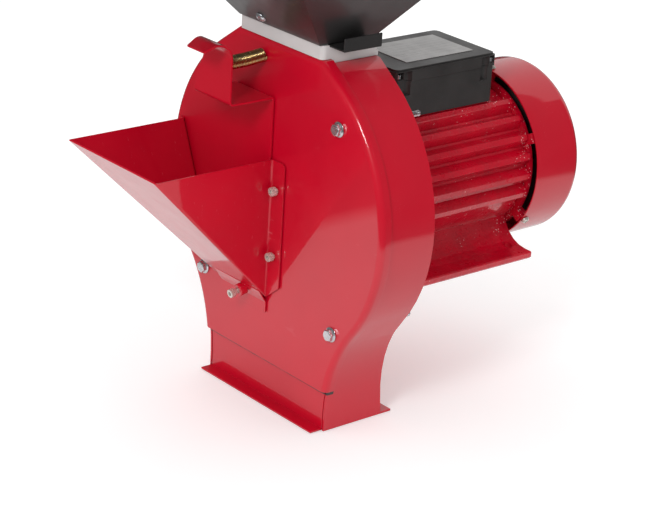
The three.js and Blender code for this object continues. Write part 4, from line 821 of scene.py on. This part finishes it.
class MILL_OT_gate(bpy.types.Operator):
    """Bends the feed gate, with its shelf and its tapered, curled handle"""

    bl_idname = "mill.gate"
    bl_label = "Feed gate"

    def execute(self, context):
        low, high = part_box("feed_gate")
        sheet, bend = 2, 3
        rear, front, bottom, shelf = -0.8, -52, 172, 300
        curl, turn, curl_height, lip = 17, 108, 341, 11
        middle = sheet / 2
        plate = [(rear - middle, bottom)] + arc(rear - bend, shelf - bend, bend - middle, 0, 90, 15)
        handle = arc(front + sheet + bend, shelf + bend, bend + middle, -90, -180, 15)
        handle += arc(front - curl + sheet, curl_height, curl - middle, 0, turn, 6)
        y, z = handle[-1]
        handle.append((y - lip * math.sin(math.radians(turn)), z + lip * math.cos(math.radians(turn))))
        edges = []
        for side, taper in ((low.x, 0.36), (high.x, 0)):
            length, line = 0, []
            for i, (y, z) in enumerate(plate + handle):
                if i > len(plate):
                    length += math.dist(handle[i - len(plate) - 1], (y, z)) / 1000
                place = at(0, y, z)
                line.append(Vector((side + taper * length, place.y, place.z)))
            edges.append(drawn("feed_gate_edge", line))
        gate = joined("feed_gate_sheet", *edges)
        opened(gate)
        bpy.ops.mesh.bridge_edge_loops()
        closed_up(gate)
        thickened(tidy(gate), sheet / 1000, 0)
        softened(gate, 0.0004, 2, 50)
        finished(gate, "feed_gate", "red_sheet", "feed_gate")
        return {"FINISHED"}


class MILL_OT_spring(bpy.types.Operator):
    """Winds the gate spring along its bowed centre line"""

    bl_idname = "mill.spring"
    bl_label = "Gate spring"

    def execute(self, context):
        sizes = context.scene.mill_spring
        low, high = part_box("gate_spring")
        radius = (sizes.coil - sizes.wire) / 2
        start, end = low.y + sizes.wire / 2, high.y - sizes.wire / 2
        curve = bpy.data.curves.new("gate_spring_wire", "CURVE")
        curve.dimensions = "3D"
        curve.bevel_depth = sizes.wire / 2
        curve.bevel_resolution = 2
        curve.use_fill_caps = True
        spline = curve.splines.new("POLY")
        per_turn, sag = 20, 0.001
        count = sizes.turns * per_turn
        spline.points.add(count)
        middle_x, base_z = (low.x + high.x) / 2, at(0, 0, 333.5).z
        across = Vector((1, 0, 0))
        for i in range(count + 1):
            share = i / count
            bow = sag * (-(1 - share) ** 2 - 4 * share * (1 - share) + share**2)
            slope = sag * (8 * share - 2) / (end - start)
            upward = across.cross(Vector((0, 1, slope)).normalized())
            angle = 2 * math.pi * i / per_turn
            centre = Vector((middle_x, start + (end - start) * share, base_z + bow))
            turn = (across * math.cos(angle) + upward * math.sin(angle)) * radius
            spline.points[i].co = (*(centre + turn), 1)
        obj = bpy.data.objects.new("gate_spring_wire", curve)
        context.scene.collection.objects.link(obj)
        take(obj)
        bpy.ops.object.convert(target="MESH")
        obj = tidy(context.object)
        finished(obj, "feed_gate", "yellow_zinc", "gate_spring", angle=60)
        return {"FINISHED"}


def cap_screw(name, length):
    """A socket head cap screw along +Y with its seat at the origin."""
    profile = [
        (0, -5), (3.7, -5), (4.05, -4.85), (4.22, -4.5), (4.22, -0.25), (4.0, 0), (2.5, 0),
        (2.5, length - 0.4), (2.1, length), (0, length),
    ]
    return cut_out(turned(name, profile, 40), prism("key_tool", 4, -6, -2.4))


class MILL_OT_chute_screws(bpy.types.Operator):
    """Turns the cap screws of the chute and the lock screw with its welded nut"""

    bl_idname = "mill.chute_screws"
    bl_label = "Cap screws"

    def execute(self, context):
        pattern = cap_screw("cap_pattern", 8.0)
        places = [
            (x, z) for z in SCREW_HEIGHTS for x in (CHUTE_RIGHT + SCREW_INSET, chute_left(z) - SCREW_INSET)
        ]
        for i, (x, z) in enumerate(places):
            turn = Matrix.Translation(at(x, CHUTE_REAR - 0.3, z)) @ Matrix.Rotation(0.5 + 0.7 * i, 4, "Y")
            screw = repeated(pattern, f"chute_cap_screw_{i + 1}", turn)
            finished(screw, "mill", "cap_steel", f"chute_screw_{i + 1}")
        bpy.data.objects.remove(pattern)
        lock = cap_screw("lock_cap_screw", 15.7)
        lock.data.transform(LOCK_PLACE @ Matrix.Translation((0, -0.0085, 0)))
        finished(lock, "lock_screw", "cap_steel", "lock_screw")
        rim = [(5.2, -4), (5.8, -3.5), (6, -3), (6, 3), (5.8, 3.5), (5.2, 4)]
        nut = turned("lock_nut_welded", [(2.8, -4), *rim, (2.8, 4), (2.8, -4)], 32)
        nut.data.transform(LOCK_PLACE)
        finished(nut, "mill", "red_sheet", "lock_nut")
        return {"FINISHED"}


# ---- Flange bolts ----


def threaded(radius, start, end, pitch=1.0):
    """Profile of a thread as (radius, distance) points."""
    points, d = [], start
    while d < end - pitch:
        points += [(radius - 0.42, d), (radius, d + pitch * 0.5)]
        d += pitch
    return points + [(radius - 0.5, end - 0.5), (radius - 1.1, end)]


def hex_head(name, across_flats, start, end, round_at):
    """A hexagon with its corners turned off on one or both sides."""
    head = prism(name, across_flats, start, end)
    inner = across_flats / 2 - 2.65
    outer = across_flats / 2 / math.cos(math.pi / 6) + 1.9
    profile = [(0, start - 1)]
    profile += [(inner, start - 1), (outer, start + 1.9)] if "start" in round_at else [(outer, start - 1)]
    profile += [(outer, end - 1.9), (inner, end + 1)] if "end" in round_at else [(outer, end + 1)]
    keep = turned("corner_tool", profile + [(0, end + 1)], 48)
    worked(head, "BOOLEAN", operation="INTERSECT", solver="EXACT", object=keep)
    bpy.data.objects.remove(keep)
    return head


class MILL_OT_bolts(bpy.types.Operator):
    """Makes the flange bolts that hold the cover, their nuts and the hopper's bolts"""

    bl_idname = "mill.bolts"
    bl_label = "Bolts and nuts"

    def execute(self, context):
        across_flats, shank, tail = 10, 3, 94
        head = hex_head("head", across_flats, -5.6, -0.9, ("start",))
        profile = [
            (0, -1.9), (4.4, -1.9), (5.4, -1.7), (6.9, -1.05), (7.1, -0.8), (7.1, -0.4), (6.9, -0.3),
            (shank, -0.3), (shank, 60), *threaded(shank, 61, tail),
        ]
        bolt = joined("bolt_pattern", head, turned("flange", profile, 40))
        softened(bolt, 0.00018, 1, 40)
        nut = hex_head("nut_pattern", across_flats, 0.3, 5.3, ("start", "end"))
        cut_out(nut, prism("bore_tool", 2 * shank + 0.2, -1, 8, 24))
        for i in range(4):
            low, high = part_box(f"cover_bolt_{i + 1}")
            centre = Vector(((low.x + high.x) / 2, at(0, 0, 0).y, (low.z + high.z) / 2))
            turn = Matrix.Translation(centre) @ Matrix.Rotation(0.35 + 0.5 * i, 4, "Y")
            piece = repeated(bolt, f"cover_flange_bolt_{i + 1}", turn)
            finished(piece, "mill", "bright_zinc", f"cover_bolt_{i + 1}")
            rear = Matrix.Translation(centre + Vector((0, HOUSING_DEPTH / 1000, 0)))
            turn = rear @ Matrix.Rotation(0.1 + 0.4 * i, 4, "Y")
            piece = repeated(nut, f"cover_hex_nut_{i + 1}", turn)
            finished(piece, "mill", "bright_zinc", f"cover_nut_{i + 1}")
        bpy.data.objects.remove(bolt)
        bpy.data.objects.remove(nut)
        self.hopper_bolts()
        return {"FINISHED"}

    def hopper_bolts(self):
        """Low round heads on the hopper's leaning front and rear walls."""
        profile = [(0, -3.4), (2.6, -3.3), (4.0, -2.6), (5.0, -1.5), (5.3, -0.4), (3, -0.3), (3, 5), (0, 5)]
        head = cut_out(turned("pan_pattern", profile, 32), prism("key_tool", 3.2, -5, -2.0))
        x, foot_y, foot_z, lean, up = -16, -1, 363.6, 0.9, 9
        front = Matrix.Translation(at(x, foot_y - lean * up, foot_z + up))
        front = front @ Matrix.Rotation(math.atan(lean), 4, "X")
        middle = at(0, 30.5, 0)
        half_round = Matrix.Rotation(math.pi, 4, "Z")
        half_round = Matrix.Translation(middle) @ half_round @ Matrix.Translation(-middle)
        for i, turn in enumerate((front, half_round @ front)):
            piece = repeated(head, f"hopper_pan_bolt_{i + 1}", turn)
            finished(piece, "mill", "bright_zinc", f"hopper_bolt_{i + 1}")
        bpy.data.objects.remove(head)


# ---- Hopper, slide and spacer ----


class MILL_OT_hopper(bpy.types.Operator):
    """Finishes the hopper, its slide and the plastic spacer under it"""

    bl_idname = "mill.hopper"
    bl_label = "Hopper"

    def execute(self, context):
        edge, slot = context.scene.mill_sheet.edge, "black_sheet"
        refined("hopper", "hopper_sheet", edge, 2, 25, slot)
        refined("hopper_slide", "hopper_slide_sheet", 0.0005, 3, 40, slot, body="hopper_slide")
        refined("hopper_spacer", "hopper_spacer_block", 0.0008, 3, 40, "white_plastic")
        return {"FINISHED"}


# ---- Motor ----


class MILL_OT_motor(bpy.types.Operator):
    """Rounds the motor's castings"""

    bl_idname = "mill.motor"
    bl_label = "Motor castings"

    def execute(self, context):
        width = context.scene.mill_motor.cast_edge
        for node in ("motor_frame", "motor_front_shield", "motor_rear_shield"):
            refined(node, f"{node}_casting", width, 3, 22, "red_casting", angle=38)
        return {"FINISHED"}


class MILL_OT_cowl(bpy.types.Operator):
    """Spins the fan cowl and cuts its air slots, and makes its screws"""

    bl_idname = "mill.cowl"
    bl_label = "Fan cowl"

    def execute(self, context):
        sizes = context.scene.mill_motor
        outer = sizes.cowl * 1000
        open_end, rear_end, bend = 256.6, 315.3, 9
        slot_start, slot_end = 24, 66
        profile = [(r, rear_end) for r in (0.0, 10, slot_start, 45, slot_end, 72)]
        profile += list(reversed(arc(outer - bend, rear_end - bend, bend, 0, 90, 11.25)))
        profile += [(outer, open_end + 26), (outer, open_end + 1.2), (outer - 0.3, open_end)]
        centre = at(0, 0, AXIS_Z)
        cowl = turned("fan_cowl_sheet", profile, sizes.slots * 10, centre)
        pitch = 2 * math.pi / sizes.slots
        rear = centre.y + rear_end / 1000

        def in_slot(face):
            away = face.center - centre
            radius = math.hypot(away.x, away.z) * 1000
            turn = (math.atan2(away.x, away.z) % pitch) / pitch
            return face.center.y > rear - 1e-4 and slot_start < radius < slot_end and 0.3 < turn < 0.7

        choose(cowl, "FACE", in_slot)
        bpy.ops.mesh.delete(type="FACE")
        thickened(cowl, 0.0015)
        softened(cowl, 0.0003, 2, 50)
        finished(cowl, "mill", "red_sheet", "fan_cowl")
        self.screws()
        return {"FINISHED"}

    def screws(self):
        """Three short screws that hold the cowl."""
        profile = [
            (0, 2.5), (1.6, 2.5), (2.8, 2.1), (3.7, 1.2), (3.95, 0.3), (3.9, -0.4), (2, -0.4), (2, -8),
            (0, -8),
        ]
        head = turned("cowl_pattern", profile, 28, axis=UP)
        for x, y in ((0.005, 0.0005), (0.0005, 0.005)):
            cut_out(head, bar("slot_tool", Vector((-x, -y, 0.0014)), Vector((x, y, 0.004))))
        first, seat_y, seat_radius = 5, 260.6, 0.0876
        for i in range(3):
            angle = math.radians(first + 120 * i)
            seat = Matrix.Translation(at(0, seat_y, AXIS_Z)) @ Matrix.Rotation(angle, 4, "Y")
            turn = seat @ Matrix.Translation((0, 0, seat_radius)) @ Matrix.Rotation(0.5 + i, 4, "Z")
            piece = repeated(head, f"cowl_cross_screw_{i + 1}", turn)
            finished(piece, "mill", "bright_zinc", f"cowl_screw_{i + 1}", finish="cap_steel")
        bpy.data.objects.remove(head)


class MILL_OT_terminal_box(bpy.types.Operator):
    """Finishes the terminal box with its lid, label, screws and cable gland"""

    bl_idname = "mill.terminal_box"
    bl_label = "Terminal box"

    def execute(self, context):
        for node in ("terminal_box", "terminal_lid"):
            refined(node, f"{node}_moulding", 0.0006, 2, 40, "black_plastic", angle=40)
        refined("blank_label", "blank_label_foil", 0.0001, 1, 40, "silver_label")
        refined("cable_gland", "cable_gland_moulding", 0.0005, 2, 40, "black_plastic")
        dressed("bright_zinc", *[f"lid_screw_{i}" for i in range(1, 5)])
        return {"FINISHED"}


class MILL_OT_inside(bpy.types.Operator):
    """Paints the pieces inside the mill and the motor, which keep their frame shapes"""

    bl_idname = "mill.inside"
    bl_label = "Inner pieces"

    def execute(self, context):
        steel = ["sieve", "rotor_disc_front", "rotor_disc_rear", "rotor_hub", "rotor_shaft", "rotor_core"]
        steel += ["bearing_front", "bearing_rear"]
        steel += [f"hammer_pin_{i}" for i in range(1, 5)] + [f"hammer_{i}" for i in range(1, 5)]
        dressed("tool_steel", *steel)
        dressed("bright_zinc", "shaft_nut")
        dressed("copper_winding", "stator")
        dressed("black_plastic", "cooling_fan", "run_capacitor")
        return {"FINISHED"}


# ---- Stage ----


def area_light(name, place, target, width, height, power):
    """A soft light that faces a target."""
    put_down()
    bpy.ops.object.light_add(type="AREA", location=place)
    lamp = bpy.context.object
    lamp.name = name
    lamp.data.shape = "RECTANGLE"
    lamp.data.size = width
    lamp.data.size_y = height
    lamp.data.energy = power
    lamp.rotation_euler = (target - place).to_track_quat("-Z", "Y").to_euler()
    return lamp


class MILL_OT_stage(bpy.types.Operator):
    """Sets up the floor, the lights and the camera"""

    bl_idname = "mill.stage"
    bl_label = "Stage"

    def execute(self, context):
        sizes = context.scene.mill_stage
        self.floor(tuple(sizes.floor))
        self.room(context.scene, sizes.ambient)
        middle = Vector((0, -0.1, 0.12))
        area_light("rear", Vector((-0.5, 1.2, 0.8)), middle, 2.0, 1.2, sizes.rear)
        area_light("key", Vector((0.68, -1.38, 1.05)), middle, 0.36, 0.36, sizes.key)
        self.camera(context.scene)
        context.scene.view_settings.view_transform = "Standard"
        return {"FINISHED"}

    def floor(self, colour):
        """Pale floor; beyond the table's edge it no longer shows in reflections."""
        put_down()
        height = at(0, 0, 0).z - 0.0004
        bpy.ops.mesh.primitive_plane_add(size=14, location=(0, 0, height))
        floor = bpy.context.object
        floor.name = "floor"
        bpy.ops.object.transform_apply(location=True, rotation=True, scale=True)
        paint = Recipe("floor_paint", Roughness=0.75, Specular_IOR_Level=0.2)
        spots = paint.range(paint.noise(3, 2), 0.3, 0.7)
        paint.feed("Base Color", paint.mixed(spots, colour, shade(colour, 0.985)))
        inputs = {0: paint.place, 1: (0.0, -0.1, height)}
        away = paint.add("ShaderNodeVectorMath", inputs, operation="DISTANCE").outputs["Value"]
        split = paint.add("ShaderNodeSeparateXYZ", {0: paint.place}).outputs
        left = paint.times(paint.range(split[0], -0.31, -0.35), paint.range(split[1], -0.28, -0.36))
        beyond = paint.sum(paint.range(away, 0.62, 0.74), left, "MAXIMUM")
        rays = paint.add("ShaderNodeLightPath").outputs
        dark = paint.add("ShaderNodeBsdfDiffuse", {"Color": (0.05, 0.048, 0.048, 1)})
        mix = paint.add("ShaderNodeMixShader", {
            0: paint.times(beyond, rays["Is Glossy Ray"]), 1: paint.shader.outputs[0], 2: dark.outputs[0],
        })
        glow = paint.add("ShaderNodeEmission", {"Strength": paint.times(rays["Is Camera Ray"], 0.22)})
        both = paint.add("ShaderNodeAddShader", {0: mix.outputs[0], 1: glow.outputs[0]})
        out = paint.tree.nodes["Material Output"]
        paint.tree.links.new(both.outputs[0], out.inputs["Surface"])
        floor.data.materials.append(paint.done())

    def room(self, scene, ambient):
        """Even white room that looks dark in reflections, as a studio does."""
        world = bpy.data.worlds.new("room")
        world.use_nodes = True
        scene.world = world
        tree = world.node_tree
        rays = tree.nodes.new("ShaderNodeLightPath").outputs

        def glow(colour, strength):
            node = tree.nodes.new("ShaderNodeBackground")
            node.inputs["Color"].default_value = colour
            node.inputs["Strength"].default_value = strength
            return node.outputs[0]

        def chosen(ray, rest, light):
            """One light for one kind of ray, and another for the rest."""
            mix = tree.nodes.new("ShaderNodeMixShader")
            for i, output in enumerate((rays[ray], rest, light)):
                tree.links.new(output, mix.inputs[i])
            return mix.outputs[0]

        white = (1, 1, 1, 1)
        lit = chosen("Is Glossy Ray", glow(white, ambient), glow((1, 0.97, 0.97, 1), 0.05))
        seen = chosen("Is Camera Ray", lit, glow(white, 1.0))
        tree.links.new(seen, tree.nodes["World Output"].inputs["Surface"])

    def camera(self, scene):
        """Long lens from the front right, a little above the mill."""
        put_down()
        bpy.ops.object.camera_add()
        camera = bpy.context.object
        camera.name = "camera"
        place, azimuth, elevation, roll = (1.530891, -1.417975, 0.811797), 0.8440314, 0.3559036, 0.0678741
        turn = Matrix.Rotation(azimuth, 4, "Z") @ Matrix.Rotation(math.pi / 2 - elevation, 4, "X")
        camera.matrix_world = Matrix.Translation(place) @ turn @ Matrix.Rotation(roll, 4, "Z")
        camera.data.sensor_width = 36
        camera.data.lens = 126.726
        camera.data.shift_x = -0.06965
        camera.data.shift_y = -0.08308
        camera.data.clip_end = 60
        scene.camera = camera


# ---- Panel and registration ----

GROUPS = (
    ("mill_finish", MILL_PG_finish),
    ("mill_sheet", MILL_PG_sheet),
    ("mill_spring", MILL_PG_spring),
    ("mill_motor", MILL_PG_motor),
    ("mill_stage", MILL_PG_stage),
)
OPERATORS = (
    MILL_OT_finishes,
    MILL_OT_cover,
    MILL_OT_housing,
    MILL_OT_chute,
    MILL_OT_gate,
    MILL_OT_spring,
    MILL_OT_chute_screws,
    MILL_OT_bolts,
    MILL_OT_hopper,
    MILL_OT_motor,
    MILL_OT_cowl,
    MILL_OT_terminal_box,
    MILL_OT_inside,
    MILL_OT_stage,
)


class MILL_PT_panel(bpy.types.Panel):
    """Lists the mill's sizes, colours and building steps."""

    bl_label = "Hammer mill"
    bl_idname = "MILL_PT_panel"
    bl_space_type = "VIEW_3D"
    bl_region_type = "UI"
    bl_category = "Mill"

    def draw(self, context):
        for name, group in GROUPS:
            box = self.layout.box()
            for prop in group.__annotations__:
                box.prop(getattr(context.scene, name), prop)
        for operator in OPERATORS:
            self.layout.operator(operator.bl_idname)


def register():
    for name, group in GROUPS:
        bpy.utils.register_class(group)
        setattr(bpy.types.Scene, name, PointerProperty(type=group))
    for operator in OPERATORS:
        bpy.utils.register_class(operator)
    bpy.utils.register_class(MILL_PT_panel)


def unregister():
    bpy.utils.unregister_class(MILL_PT_panel)
    for operator in reversed(OPERATORS):
        bpy.utils.unregister_class(operator)
    for name, group in reversed(GROUPS):
        delattr(bpy.types.Scene, name)
        bpy.utils.unregister_class(group)


def main():
    register()
    bpy.ops.mill.finishes()
    bpy.ops.mill.cover()
    bpy.ops.mill.housing()
    bpy.ops.mill.chute()
    bpy.ops.mill.gate()
    bpy.ops.mill.spring()
    bpy.ops.mill.chute_screws()
    bpy.ops.mill.bolts()
    bpy.ops.mill.hopper()
    bpy.ops.mill.motor()
    bpy.ops.mill.cowl()
    bpy.ops.mill.terminal_box()
    bpy.ops.mill.inside()
    bpy.ops.mill.stage()


if __name__ == "__main__":
    main()
